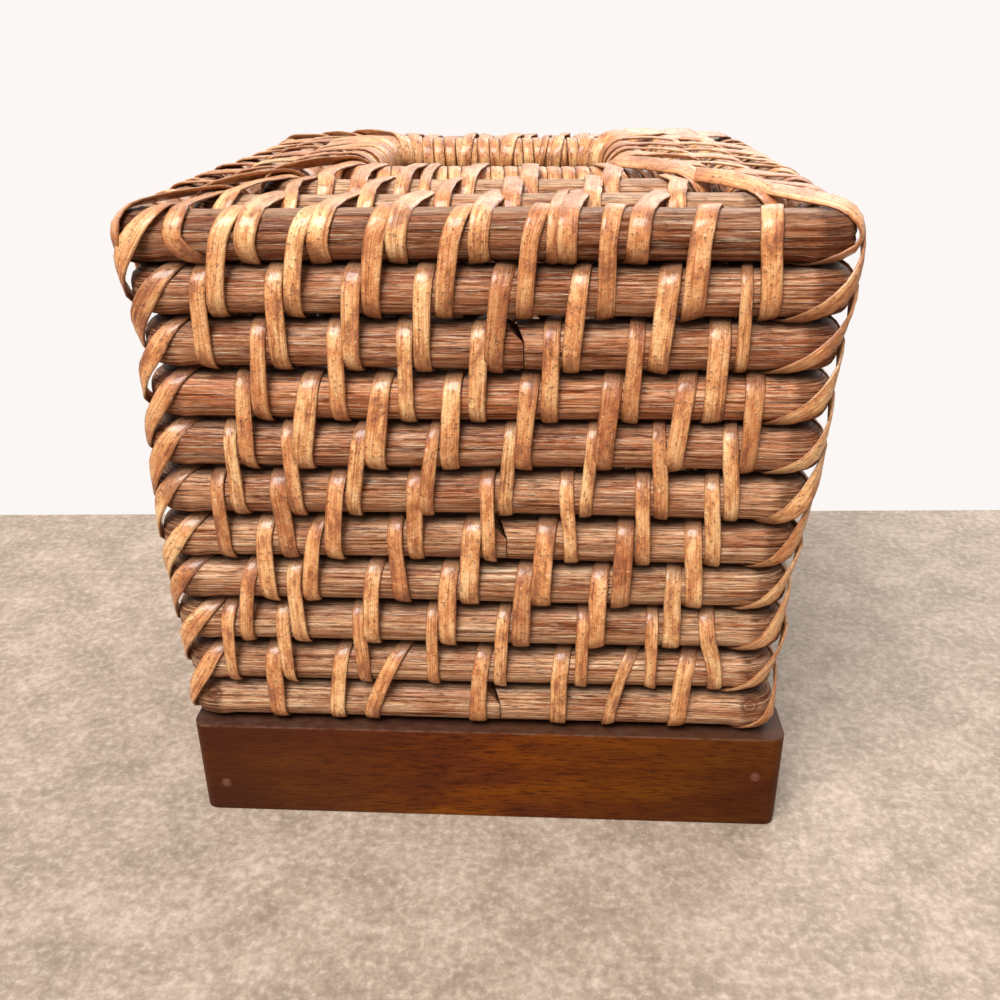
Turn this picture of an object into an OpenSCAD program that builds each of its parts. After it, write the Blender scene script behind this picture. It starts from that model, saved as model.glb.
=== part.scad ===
// Square tissue box cover of whole rattan rods, bound with split cane, on a wooden base.
// Closed square hoops are stacked into four walls, and three flat hoops of falling size close
// the top round a square opening. Strips of cane bind every hoop to the next one.
// The origin is the middle of the base's underside, the front is towards -Y, Z is up.

/* [Body] */
// Width over the rods of the bottom course, the same on all four sides
body_w = 146; // [136:1:170]
// How far the top course stands out past the bottom course on each side
flare = 1.8; // [0:0.1:3]
// Diameter of the whole rattan rods
rod_d = 10.5; // [9:0.1:11.5]
// Bend radius of the side hoops at their corners, on the rod's centre line
side_bend = 6.5; // [6:0.1:9]
// Number of side hoops stacked on the base
course_count = 11; // [6:1:12]

/* [Top] */
// Number of flat hoops between the top course and the rim hoop
flat_count = 2; // [1:1:2]
// Bend radius of the rim hoop, on the rod's centre line
rim_bend = 12.5; // [9:0.1:14]
// Rise of the rim hoop above the top course
crown_rise = 2.8; // [0:0.1:5]

/* [Binding] */
// Width of the split cane strips
strip_w = 3.6; // [2.5:0.1:4.5]
// Thickness of the split cane strips
strip_t = 0.75; // [0.5:0.05:1]
// How far a stitch leans to the right from its lower end to its upper end
stitch_lean = 1.1; // [0:0.1:2]
// Free room along the rod between strips of neighbouring rows
strip_room = 0.2; // [0.1:0.1:1]
// Extra room in each repeat of the stitch pattern
repeat_room = 1.2; // [0.5:0.1:4]

/* [Base] */
// How far the wooden base frame stands out past the bottom course on each side
base_ledge = 1; // [0.5:0.5:4]
// Height of the wooden base frame
base_h = 26.5; // [20:0.5:40]
// Thickness of the base rails, from outside to inside
rail_t = 13; // [11:0.5:16]
// Radius of the rounded lower ends, seen from the front
foot_round = 4.5; // [1:0.5:8]
// Radius of the four upright corners
corner_round = 3; // [0.5:0.5:5]

/* [Fixings] */
// Diameter of the nails that join the base rails
nail_d = 1.6; // [1.2:0.1:2.5]
// Length of the nails that join the base rails
nail_l = 28; // [20:1:34]
// Diameter of the heads of those nails
nail_head_d = 2.6; // [2:0.1:4]
// Height of the nail at the left end of the front and back rails above the underside
nail_left_z = 8.5; // [5:0.5:12]
// Depth of the nail at the right end of the front and back rails below the rail's top
nail_right_drop = 11.5; // [11:0.5:16]
// Depth of the filled hole over each nail head
nail_sink = 1.2; // [0.5:0.1:2]
// Shank diameter of the nails that hold the bottom hoop on the base
hoop_nail_d = 1.2; // [0.8:0.1:1.5]
// Length of those nails
hoop_nail_l = 16; // [12:0.5:16]
// Slant of those nails below the level
hoop_nail_slant = 62; // [60:1:70]

/* [Hidden] */
$fn = 48;
sides = 4;
quarter = 90;
half_turn = 180;

// Clearance between a piece and what it is bound, nailed or glued to
fit_gap = 0.05;
// Overrun of cuts past the faces that they open
overrun = 1;

rod_r = rod_d / 2;
lap_r = rod_r + fit_gap;
wrap_t = fit_gap + strip_t;
// Distance between neighbouring hoops: a rod, and one strip that passes between two rods
pitch = rod_d + strip_t + 2 * fit_gap;

// The stitch pattern moves to the left by one row step from each row to the next one down.
// Three row steps and the spare room make one repeat, so that no strips meet.
row_step = strip_w + stitch_lean + strip_room;
stitch_step = 3 * row_step + repeat_room;
first_place = 13.5;
side_end_room = 6.2;
flat_end_room = 2.2;

// Hoops are counted downwards: course 1 is the top side hoop, 0 and below are the flat hoops
rim_row = -flat_count;
bottom_z = base_h + wrap_t + fit_gap + rod_r;
base_w = body_w + 2 * base_ledge;

function rank(k) = 1 - k;
function flare_at(k) = flare * (course_count - k) / (course_count - 1);
function hoop_half(k) =
    k >= 1 ? body_w / 2 - rod_r + flare_at(k)
           : hoop_half(1) - rank(k) * pitch - (k == rim_row ? wrap_t : 0);
function hoop_z(k) =
    k >= 1 ? bottom_z + (course_count - k) * pitch
           : hoop_z(1) + crown_rise * (1 - cos(half_turn * rank(k) / rank(rim_row))) / 2;
function hoop_bend(k) =
    k >= 1 ? side_bend
           : side_bend + (rim_bend - side_bend) * rank(k) / rank(rim_row);
function straight_half(k) = hoop_half(k) - hoop_bend(k);

// The butt joint of each hoop lies near the middle of one side, one side further each time
joint_place = 3.5;
joint_gap = 0.35;
joint_slant = 38;
joint_first_side = 1;
function joint_side(k) = (k >= 1 ? k + joint_first_side : rank(k) - joint_first_side) % sides;

// Places of the stitches that bind hoop k to hoop k + 1, along one side
place_limit_share = 20;
function row_limit(k) = straight_half(k) - (k >= 1 ? side_end_room : flat_end_room);
function row_start(k) = first_place - row_step * (k - 1);
function places(k) = [
    for (n = [-place_limit_share:place_limit_share])
        let (x = row_start(k) + n * stitch_step)
            if (abs(x) <= row_limit(k)) x
];

// Close wrapping of the rim hoop, four turns between two stitches
turns_between = 4;
slot_room = 0.4;
slot_w = strip_w + 2 * slot_room;
turn_w = (stitch_step - slot_w) / turns_between;
groove_w = 0.3;
groove_depth = 0.3;
bend_turns = 6;

// Fixings in the base
head_t = 0.8;
hoop_nail_head_d = 2.4;
hoop_nail_head_t = 0.6;
hoop_nail_sink = 1.2;
hoop_nail_inset = 6;
hoop_nail_place = body_w / 2 - hoop_nail_inset;
hoop_nail_left_rise = 1.6;
hoop_nail_right_rise = -0.6;

// Rods

module square_loop(k, r) {
    b = hoop_bend(k);
    s = straight_half(k);
    translate([0, 0, hoop_z(k)])
        for (i = [0:sides - 1])
            rotate(quarter * i) {
                translate([-s, -s - b, 0])
                    rotate([0, quarter, 0])
                        cylinder(r = r, h = 2 * s);
                translate([s, -s, 0])
                    rotate(-quarter)
                        rotate_extrude(angle = quarter)
                            translate([b, 0])
                                circle(r);
            }
}

module joint_cut(k) {
    rotate(quarter * joint_side(k))
        translate([joint_place, -hoop_half(k), hoop_z(k)])
            rotate([0, -joint_slant, 0])
                cube([joint_gap, rod_d + overrun, 2 * rod_d], center = true);
}

module hoop(k) {
    difference() {
        square_loop(k, rod_r);
        joint_cut(k);
    }
}

module side_hoop(k) {
    color("rosybrown")
        if (k < course_count)
            hoop(k);
        else
            difference() {
                hoop(k);
                hoop_nail_holes();
            }
}

module flat_hoop(k) {
    color("tan") hoop(k);
}

// Cane strips

module half_ring() {
    rotate([quarter, 0, quarter])
        rotate_extrude(angle = half_turn)
            translate([lap_r, -strip_w / 2])
                square([strip_t, strip_w]);
}

module leg(x_top, x_low, reach) {
    w = strip_w / 2;
    rotate([quarter, 0, 0])
        linear_extrude(strip_t)
            polygon([
                [x_top - w, reach], [x_top + w, reach],
                [x_low + w, -reach], [x_low - w, -reach]
            ]);
}

// One stitch round hoops k and k + 1 on the front side, at place x
module stitch(k, x) {
    out_step = hoop_half(k + 1) - hoop_half(k);
    rise = hoop_z(k) - hoop_z(k + 1);
    reach = norm([out_step, rise]) / 2;
    x_top = x + stitch_lean / 2;
    x_low = x - stitch_lean / 2;
    translate([0, -(hoop_half(k) + hoop_half(k + 1)) / 2, (hoop_z(k) + hoop_z(k + 1)) / 2])
        rotate([atan2(-out_step, rise), 0, 0]) {
            translate([x_top, 0, reach]) half_ring();
            translate([x_low, 0, -reach]) mirror([0, 0, 1]) half_ring();
            translate([0, -lap_r, 0]) leg(x_top, x_low, reach);
            translate([0, lap_r + strip_t, 0]) leg(x_top, x_low, reach);
        }
}

// The strip that turns the corner between the front and the left side is a closed ribbon.
// Each station of it holds: share of the way from hoop k to hoop k + 1, angle round the rod
// from the pair's own direction, plan angle round the corner, and shift along the side.
arc_step = 30;
side_plan_shares = [0, 0, 0, 0.06, 0.2, 0.36, 0.5, 0.62, 0.76, 0.9, 1, 1, 1];
flat_plan_shares = [0.2, 0.2, 0.2, 0.2, 0.22, 0.26, 0.45, 0.62, 0.66, 0.7, 0.72, 0.72, 0.72];
side_shift_shares = [1, 0.75, 0.45, 0, 0, 0, 0, 0, 0, 0, 0, -0.5, -1];
side_shift = 2;
corner_lift = 0.3;
arc_count = half_turn / arc_step;

function mix(a, b, t) = a + (b - a) * t;
function unit(v) = v / norm(v);
function out_dir(phi) = [-sin(phi), -cos(phi), 0];
function along_dir(phi) = [cos(phi), -sin(phi), 0];

function station_share(i) = i < arc_count ? 0 : i == arc_count ? 0.5 : 1;
function station_turn(i) =
    i < arc_count ? 3 * quarter - arc_step * (i + 0.5)
  : i == arc_count ? quarter
  : quarter - arc_step * (i - arc_count - 0.5);

function corner_middle(k, t, phi, shift) =
    let (
        s = mix(straight_half(k), straight_half(k + 1), t),
        b = mix(hoop_bend(k), hoop_bend(k + 1), t),
        z = mix(hoop_z(k), hoop_z(k + 1), t)
    )
    [-s, -s, z] + b * out_dir(phi) + shift * along_dir(phi);

function inner_lift(k) =
    let (r = hoop_bend(k) - rod_r)
    k >= 1 ? 0 : r - sqrt(r * r - strip_w * strip_w / 4);

function ribbon_stations(k) =
    let (
        pair = atan2(hoop_z(k + 1) - hoop_z(k), hoop_half(k + 1) - hoop_half(k)),
        plan = k >= 1 ? side_plan_shares : flat_plan_shares,
        mid_r = (lap_r + strip_t / 2) / cos(arc_step / 2)
    )
    [
        for (i = [0:2 * arc_count])
            let (
                t = station_share(i),
                turn = pair + station_turn(i),
                phi = quarter * plan[i],
                shift = k >= 1 ? side_shift * side_shift_shares[i] : 0,
                normal = cos(turn) * out_dir(phi) + [0, 0, sin(turn)],
                outward = max(0, cos(turn)) * corner_lift,
                inward = max(0, -cos(turn)) * inner_lift(k),
                wrap = k == rim_row && t == 0 ? wrap_t : 0,
                flat_lift = k < 1 && t == 0.5 ? corner_lift : 0
            )
            [
                corner_middle(k, t, phi, shift)
                    + (mid_r + outward + inward + wrap + flat_lift) * normal,
                normal
            ]
    ];

function ribbon_points(st) =
    let (n = len(st))
    [
        for (i = [0:n - 1])
            let (
                travel = unit(st[(i + 1) % n][0] - st[(i + n - 1) % n][0]),
                across = unit(cross(travel, st[i][1])) * strip_w / 2,
                up = st[i][1] * strip_t / 2,
                p = st[i][0]
            )
            each [p + across + up, p - across + up, p - across - up, p + across - up]
    ];

function ribbon_faces(n) = [
    for (i = [0:n - 1])
        for (j = [0:sides - 1])
            let (
                a = i * sides + j,
                b = i * sides + (j + 1) % sides,
                c = ((i + 1) % n) * sides + (j + 1) % sides,
                d = ((i + 1) % n) * sides + j
            )
            each [[a, b, c], [a, c, d]]
];

module corner_strip(k) {
    st = ribbon_stations(k);
    polyhedron(ribbon_points(st), ribbon_faces(len(st)));
}

module lashing(k) {
    color("goldenrod")
        for (i = [0:sides - 1])
            rotate(quarter * i) {
                for (x = places(k)) stitch(k, x);
                corner_strip(k);
            }
}

// Rim wrapping

module turn_cut(w, inner_r) {
    rotate([0, quarter, 0])
        difference() {
            cylinder(r = rod_r + wrap_t + overrun, h = w, center = true);
            cylinder(r = inner_r, h = w + overrun, center = true);
        }
}

module rim_wrap() {
    s = straight_half(rim_row);
    b = hoop_bend(rim_row);
    groove_r = rod_r + wrap_t - groove_depth;
    shift = stitch_lean / 2;
    turn_places = [
        for (n = [-place_limit_share:place_limit_share], i = [1:turns_between - 1])
            let (x = row_start(rim_row) + shift + n * stitch_step + slot_w / 2 + i * turn_w)
                if (abs(x) < s) x
    ];
    color("peru")
        difference() {
            square_loop(rim_row, rod_r + wrap_t);
            square_loop(rim_row, lap_r);
            translate([0, 0, hoop_z(rim_row)])
                for (i = [0:sides - 1])
                    rotate(quarter * i) {
                        for (x = places(rim_row))
                            translate([x + shift, -s - b, 0]) turn_cut(slot_w, rod_r / 2);
                        for (x = turn_places)
                            translate([x, -s - b, 0]) turn_cut(groove_w, groove_r);
                        for (j = [0:bend_turns])
                            translate([s, -s, 0])
                                rotate(j * quarter / bend_turns)
                                    translate([0, -b, 0]) turn_cut(groove_w, groove_r);
                    }
        }
}

// Wooden base

module rounded_square(w, r) {
    square([w, w - 2 * r], center = true);
    square([w - 2 * r, w], center = true);
    for (x = [-1, 1], y = [-1, 1])
        translate([x, y] * (w / 2 - r)) circle(r);
}

module foot_profile() {
    translate([-base_w / 2, foot_round]) square([base_w, base_h - foot_round]);
    translate([foot_round - base_w / 2, 0]) square([base_w - 2 * foot_round, base_h]);
    for (x = [-1, 1])
        translate([x * (base_w / 2 - foot_round), foot_round]) circle(foot_round);
}

module base_block() {
    intersection() {
        linear_extrude(base_h) rounded_square(base_w, corner_round);
        translate([0, base_w / 2, 0])
            rotate([quarter, 0, 0])
                linear_extrude(base_w) foot_profile();
    }
}

module long_rail() {
    difference() {
        intersection() {
            base_block();
            translate([-base_w / 2, -base_w / 2, 0]) cube([base_w, rail_t, base_h]);
        }
        base_nail_holes();
        hoop_nail_holes();
    }
}

module short_rail() {
    free = base_w - 2 * rail_t - 2 * fit_gap;
    difference() {
        intersection() {
            base_block();
            translate([-base_w / 2, -free / 2, 0]) cube([rail_t, free, base_h]);
        }
        for (i = [0, 2]) rotate(quarter * i) base_nail_holes();
    }
}

module base_rail_front() {
    color("saddlebrown") long_rail();
}

module base_rail_back() {
    color("saddlebrown") rotate(half_turn) long_rail();
}

module base_rail_left() {
    color("saddlebrown") short_rail();
}

module base_rail_right() {
    color("saddlebrown") rotate(half_turn) short_rail();
}

// Fixings. A piece is drawn with no room, and its hole with the fit gap all round.

module base_nail(room) {
    rotate([-quarter, 0, 0]) {
        cylinder(d = nail_head_d + 2 * room, h = head_t + room);
        cylinder(d = nail_d + 2 * room, h = nail_l + room);
    }
}

module nail_spots() {
    x = base_w / 2 - rail_t / 2;
    translate([-x, nail_sink - base_w / 2, nail_left_z]) children();
    translate([x, nail_sink - base_w / 2, base_h - nail_right_drop]) children();
}

module filler(room) {
    rotate([quarter, 0, 0])
        cylinder(d = nail_head_d + 2 * room, h = nail_sink - fit_gap + room);
}

module base_nail_holes() {
    nail_spots() {
        base_nail(fit_gap);
        filler_hole();
    }
}

module filler_hole() {
    rotate([quarter, 0, 0])
        translate([0, 0, -fit_gap])
            cylinder(d = nail_head_d + 2 * fit_gap, h = nail_sink + overrun);
}

module base_nails() {
    color("dimgray")
        for (i = [0, 2]) rotate(quarter * i) nail_spots() base_nail(0);
}

module nail_fillers() {
    color("sienna")
        for (i = [0, 2])
            rotate(quarter * i)
                nail_spots() translate([0, -fit_gap, 0]) filler(0);
}

// Two nails at the front and two at the back slant down through the bends of the bottom hoop
module hoop_nail_spots() {
    b = side_bend + rod_r;
    over = hoop_nail_place - straight_half(course_count);
    face = straight_half(course_count) + sqrt(b * b - over * over) - hoop_nail_sink;
    translate([-hoop_nail_place, -face, bottom_z + hoop_nail_left_rise]) children();
    translate([hoop_nail_place, -face, bottom_z + hoop_nail_right_rise]) children();
}

module hoop_nail(room) {
    rotate([-quarter - hoop_nail_slant, 0, 0]) {
        cylinder(d = hoop_nail_head_d + 2 * room, h = hoop_nail_head_t + room);
        cylinder(d = hoop_nail_d + 2 * room, h = hoop_nail_l + room);
    }
}

module hoop_nail_holes() {
    for (i = [0, 2])
        rotate(quarter * i)
            hoop_nail_spots() {
                hoop_nail(fit_gap);
                rotate([quarter - hoop_nail_slant, 0, 0])
                    translate([0, 0, -fit_gap])
                        cylinder(d = hoop_nail_head_d + 2 * fit_gap, h = rod_r);
            }
}

module hoop_nails() {
    color("dimgray")
        for (i = [0, 2]) rotate(quarter * i) hoop_nail_spots() hoop_nail(0);
}

for (k = [1:course_count])
    side_hoop(k);
for (k = [0:-1:rim_row + 1])
    flat_hoop(k);
flat_hoop(rim_row);  // rim_hoop
for (k = [1:course_count - 1])
    lashing(k);
for (k = [0:-1:rim_row])
    lashing(k);
rim_wrap();
base_rail_front();
base_rail_back();
base_rail_left();
base_rail_right();
base_nails();
nail_fillers();
hoop_nails();
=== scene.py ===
# %% [markdown]
# A square tissue box cover of whole rattan. The walls are a stack of closed rods, called hoops here,
# that are bound to each other with rows of split cane. It stands on a dark wooden base.
# The CAD model is loaded first. It says where every hoop, lashing and rail is and how large it is,
# so each piece below is made at its final place and nothing has to be fitted afterwards.
# Lengths are written in millimetres and turned to Blender's metres with the factor mm.

import math

import bpy
import numpy as np
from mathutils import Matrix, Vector


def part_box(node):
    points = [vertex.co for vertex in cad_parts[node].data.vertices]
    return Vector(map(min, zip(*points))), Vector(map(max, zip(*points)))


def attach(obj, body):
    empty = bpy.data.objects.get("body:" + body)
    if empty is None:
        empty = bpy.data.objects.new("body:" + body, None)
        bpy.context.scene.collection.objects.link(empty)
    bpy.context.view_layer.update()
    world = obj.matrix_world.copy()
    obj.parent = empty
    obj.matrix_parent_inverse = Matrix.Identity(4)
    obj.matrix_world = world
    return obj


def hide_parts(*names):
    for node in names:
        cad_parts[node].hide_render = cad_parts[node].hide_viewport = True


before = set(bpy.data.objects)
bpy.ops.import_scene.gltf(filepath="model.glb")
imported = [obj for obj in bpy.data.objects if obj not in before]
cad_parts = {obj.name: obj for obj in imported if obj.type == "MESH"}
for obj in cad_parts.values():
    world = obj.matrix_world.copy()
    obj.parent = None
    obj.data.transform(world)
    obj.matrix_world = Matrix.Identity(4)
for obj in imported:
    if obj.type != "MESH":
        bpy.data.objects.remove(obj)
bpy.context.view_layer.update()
scene = bpy.context.scene
mm = 0.001
print("CAD nodes:", len(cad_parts))

# %% [markdown]
# The camera comes first, because every later look at the scene needs it. The photograph was taken
# with a wide phone lens from close by and a little above, which is why the walls seem to fall away
# downwards. A 36 mm lens on a 36 mm sensor gives that width. The camera is turned by three angles,
# as a hand holds a phone: down, a little to the left, and a slight roll.

# %% Camera
camera_place = Vector((16.3, -271.6, 182.3)) * mm
look_down = math.radians(25.1)
look_left = math.radians(3.3)
hand_roll = math.radians(-0.59)


def new_object(name, data):
    """An object with this data, linked to the scene."""
    made = bpy.data.objects.new(name, data)
    scene.collection.objects.link(made)
    return made


camera_data = bpy.data.cameras.new("photo_camera")
camera_data.lens = 36
camera_data.sensor_width = 36
camera_data.clip_start = 0.01
camera = new_object("photo_camera", camera_data)
camera.rotation_mode = "XYZ"
camera.location = camera_place
camera.rotation_euler = (math.pi / 2 - look_down, 0, look_left)
camera.rotation_euler.rotate_axis("Z", hand_roll)
scene.camera = camera
print("camera at", tuple(round(v / mm, 1) for v in camera.location), "mm")

# %% [markdown]
# A hoop is one rod, bent square with tight corners. Its height and its width come from the box of
# its CAD node. Hoops are counted downwards: 1 is the top course and 11 the lowest, and 0, -1 and -2
# are the two flat hoops of the top and the rim hoop. A rod bent by hand is never quite true, so
# each hoop gets a small shift sideways, a small loss of width and a change of height, as the
# photograph shows them, and a slight wave.

# %% Sizes of the hoops
rod_radius = 5.25
course_count = 11
hoop_nodes = {k: f"side_hoop_{k}" for k in range(1, course_count + 1)}
hoop_nodes.update({0: "flat_hoop_1", -1: "flat_hoop_2", -2: "rim_hoop"})
# Radius of the bends, to the rod's centre line, as in the CAD model
hoop_bends = {0: 8.5, -1: 10.5, -2: 12.5}
side_bend = 6.5
side_shift = {
    -2: 0.3, -1: 0.6, 0: 0.9, 1: 1.2, 2: 2.2, 3: 1.95, 4: 1.3,
    5: 0.5, 6: -0.4, 7: -1.1, 8: -1.3, 9: -1.0, 10: -1.3, 11: -1.2,
}
width_loss = {2: 0.7, 3: 1.25, 4: 0.9, 5: 0.45, 6: 0.6, 7: 0.5, 8: 1.3, 9: 1.0, 10: 1.3, 11: 0.3}
height_trim = {1: -0.2, 4: 0.15, 5: 0.25, 10: -0.3, 11: -0.2}


class Hoop:
    def __init__(self, k):
        low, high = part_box(hoop_nodes[k])
        half = (high.x - low.x) / 2 / mm - rod_radius
        self.k = k
        self.name = hoop_nodes[k]
        self.bend = hoop_bends.get(k, side_bend)
        self.half_x = half - width_loss.get(k, 0)
        self.half_y = half
        self.z = (low.z + high.z) / 2 / mm + height_trim.get(k, 0)
        self.shift = side_shift[k]


hoops = {k: Hoop(k) for k in hoop_nodes}


def wave(k, x, y):
    """Small swings of hoop k outwards and upwards, at a place of its centre line."""
    out = 0.22 * np.sin(x / 17 + 0.7 * k) + 0.2 * np.sin(y / 21 + 1.9 * k + 1)
    up = 0.16 * np.sin(x / 23 + 1.3 * k) + 0.12 * np.sin(y / 19 + 2.1 * k)
    return out, up


def corner_power(k):
    """Shape of the corner in plan: 2 is round, more is squarer."""
    return {-2: 2.0, -1: 2.2, 0: 2.6}.get(k, 3.6)


def tighten_corners(points, half_x, half_y, bend, shift, power):
    """Moves what lies in the round corners outwards, so that the bends become as tight as real ones."""
    centre_x, centre_y = half_x - bend, half_y - bend
    ax, ay = abs(points[:, 0] - shift) - centre_x, abs(points[:, 1]) - centre_y
    inside = (ax > 0) & (ay > 0)
    reach = np.hypot(ax, ay)
    unit_x = np.clip(ax / np.maximum(reach, 1e-9), 1e-6, 1)
    unit_y = np.clip(ay / np.maximum(reach, 1e-9), 1e-6, 1)
    squarer = (unit_x**power + unit_y**power) ** (-1 / power)
    grow = np.where(inside, 1 + (squarer - 1) * np.clip(reach / (bend + rod_radius), 0, 1), 1)
    moved = points.copy()
    moved[:, 0] = shift + np.sign(points[:, 0] - shift) * (centre_x + ax * grow)
    moved[:, 1] = np.sign(points[:, 1]) * (centre_y + ay * grow)
    return moved


for k in sorted(hoops):
    print(hoops[k].name, "half", round(hoops[k].half_x, 2), "z", round(hoops[k].z, 2))

# %% [markdown]
# Materials are built from nodes. One small function adds any node with its settings and its links,
# and one turns the sRGB hex values that a colour picker shows into the linear numbers that the
# renderer wants. A node that is given as a value stands for its first output, so that most links are
# one word. Everything else is said where the finish itself is made.

# %% Helpers for colours and nodes
def linear(code):
    """sRGB hex colour as linear RGBA."""
    values = [int(code[i : i + 2], 16) / 255 for i in (1, 3, 5)]
    return [v / 12.92 if v <= 0.04045 else ((v + 0.055) / 1.055) ** 2.4 for v in values] + [1.0]


def add(tree, kind, inputs=None, stops=(), **settings):
    """Adds a node, sets its properties, and fills or links its inputs. Stops are a colour ramp's."""
    made = tree.nodes.new("ShaderNode" + kind)
    for name, value in settings.items():
        setattr(made, name, value)
    if stops:
        elements = made.color_ramp.elements
        while len(elements) < len(stops):
            elements.new(0.5)
        for element, (place, colour) in zip(elements, stops):
            element.position = place
            element.color = linear(colour) if isinstance(colour, str) else (colour, colour, colour, 1)
    for name, value in (inputs or {}).items():
        if isinstance(value, bpy.types.Node):
            value = value.outputs[0]
        if isinstance(value, bpy.types.NodeSocket):
            tree.links.new(value, made.inputs[name])
        else:
            made.inputs[name].default_value = linear(value) if isinstance(value, str) else value
    return made


def new_material(name):
    material = bpy.data.materials.new(name)
    material.use_nodes = True
    tree = material.node_tree
    tree.nodes.clear()
    return material, tree


def finish_material(tree, inputs):
    add(tree, "OutputMaterial", {"Surface": add(tree, "BsdfPrincipled", inputs)})


print("white is", linear("#ffffff")[:3])

# %% [markdown]
# The rods are whole rattan with its hard skin taken off, so the long fibres show as fine ridges, and
# a thin lacquer lies over them. A picture of wood would not follow the bends. The pattern is noise
# that is stretched along the rod instead, and it reads an attribute called grain that the rod's mesh
# carries: millimetres along the rod, outwards and upwards from its centre line. The second attribute,
# tone, makes each rod a little lighter, darker or redder than the next one.

# %% Rattan rod material
def rattan_rod(name, coarse=1.0, nail_marks=()):
    # Peeled rattan core: long open fibres that catch the light as pale threads, dark lines between them
    material, tree = new_material(name)
    grain = add(tree, "Attribute", attribute_name="grain").outputs["Vector"]
    tone = add(tree, "Attribute", attribute_name="tone").outputs["Fac"]
    bend = add(tree, "Attribute", attribute_name="bend").outputs["Fac"]
    crevice = add(tree, "Attribute", attribute_name="crevice").outputs["Fac"]

    def streaks(length, thick, start, detail, roughness=0.6):
        """Noise drawn out along the rod: streaks of a length and a thickness in millimetres."""
        scale = (1 / length, 1 / thick, 1 / thick)
        place = add(tree, "Mapping", {"Vector": grain, "Scale": scale, "Location": start})
        return add(tree, "TexNoise", {"Vector": place, "Scale": 1.0, "Detail": detail, "Roughness": roughness})

    fibre = streaks(40 * coarse, 0.58 * coarse, (0, 0, 0), 4)
    # Single threads, really 0.1 mm, drawn 0.25 mm thick so that they show in the render
    thread = streaks(11, 0.25, (7, 3, 5), 5, 0.8)
    # Cloudy change of colour along a rod
    cloud = streaks(18, 4.5, (31, 2, 9), 4)
    # Dark lines of dirt in the open pores, broken every few millimetres
    pore = streaks(4, 0.27, (3, 11, 1), 5, 0.78)

    browns = [(0.34, "#74401f"), (0.44, "#b27e59"), (0.52, "#d8a680"), (0.59, "#eec29c"), (0.69, "#ffeacc")]
    body = add(tree, "ValToRGB", {"Fac": fibre}, stops=browns)
    warm = add(tree, "ValToRGB", {"Fac": cloud}, stops=[(0.36, "#c79b85"), (0.6, "#fffaf2")])
    body = add(tree, "MixRGB", {"Fac": 0.85, "Color1": body, "Color2": warm}, blend_type="MULTIPLY")
    tints = [(0.0, "#d2a190"), (0.35, "#eed4c6"), (0.7, "#fffaf4"), (1.0, "#f7bb95")]
    tint = add(tree, "ValToRGB", {"Fac": tone}, stops=tints)
    body = add(tree, "MixRGB", {"Fac": 0.8, "Color1": body, "Color2": tint}, blend_type="MULTIPLY")
    # Pale fibre threads, partly their own cream colour and partly painted glints of light
    bright = add(tree, "MapRange", {"Value": thread, "From Min": 0.52, "From Max": 0.64, "To Max": 0.8})
    body = add(tree, "MixRGB", {"Fac": bright, "Color1": body, "Color2": "#ffe6c4"})
    dark = add(tree, "MapRange", {"Value": pore, "From Min": 0.55, "From Max": 0.65, "To Max": 0.66})
    body = add(tree, "MixRGB", {"Fac": dark, "Color1": body, "Color2": "#361003"})
    # Lighter where the rod faces upwards: dust, and painted light from above
    normal = add(tree, "NewGeometry").outputs["Normal"]
    facing = add(tree, "SeparateXYZ", {"Vector": normal}).outputs["Z"]
    dust_and_top_light = add(tree, "MapRange", {"Value": facing, "From Min": 0.72, "From Max": 0.97, "To Max": 0.42})
    body = add(tree, "MixRGB", {"Fac": dust_and_top_light, "Color1": body, "Color2": "#e3bf9f"})
    # The bends were scorched and cracked when they were bent over heat
    scorched = add(tree, "Math", {0: bend, 1: pore}, operation="MULTIPLY")
    scorched = add(tree, "MapRange", {"Value": scorched, "From Min": 0.3, "From Max": 0.6, "To Max": 0.8})
    body = add(tree, "MixRGB", {"Fac": scorched, "Color1": body, "Color2": "#4c2212"})
    # Painted shade, with some dirt, nearly black where the rods nearly touch
    crevice_shade_and_dirt = add(tree, "MapRange", {"Value": crevice, "From Min": 0.76, "From Max": 0.99, "To Max": 0.8})
    body = add(tree, "MixRGB", {"Fac": crevice_shade_and_dirt, "Color1": body, "Color2": "#2c0e04"})

    # Round marks where nails were sunk and filled: a pale ring about 3 mm across with a dark middle,
    # drawn out along y so that it reaches the rod's curved face everywhere
    spot = add(tree, "TexCoord").outputs["Object"]
    rings = [(0.0, 0.5), (0.2, 0.75), (0.34, 0.1), (0.46, 0.85), (0.62, 0.2), (0.8, 0.0)]
    for place in nail_marks:
        nearby = add(tree, "VectorMath", {0: spot, 1: tuple(v * mm for v in place)}, operation="SUBTRACT")
        nearby = add(tree, "VectorMath", {0: nearby, 1: (800.0, 330.0, 1000.0)}, operation="MULTIPLY")
        distance = add(tree, "VectorMath", {0: nearby}, operation="LENGTH").outputs["Value"]
        distance = add(tree, "MapRange", {"Value": distance, "From Max": 3.0})
        ring = add(tree, "ValToRGB", {"Fac": distance}, stops=rings)
        body = add(tree, "MixRGB", {"Fac": ring, "Color1": body, "Color2": "#6d3b28"})

    height = add(tree, "Math", {0: fibre, 1: thread}, operation="ADD")
    height = add(tree, "Math", {0: height, 1: dark}, operation="SUBTRACT")
    relief = add(tree, "Bump", {"Height": height, "Strength": 0.9, "Distance": 0.0006 * coarse})
    dull = add(tree, "Math", {0: dark, 1: bright}, operation="SUBTRACT")
    dull_range = {"From Min": -0.7, "From Max": 0.5, "To Min": 0.3, "To Max": 0.7}
    dull = add(tree, "MapRange", {"Value": dull, **dull_range})
    # A thin lacquer that has sunk into the fibres: little shine, and warm like the stain in it
    finish_material(tree, {
        "Base Color": body, "Roughness": dull, "Normal": relief, "IOR": 1.5, "Specular IOR Level": 0.18,
        "Specular Tint": "#ffa56b", "Coat Weight": 0.05, "Coat Roughness": 0.25,
    })
    return material


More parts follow.
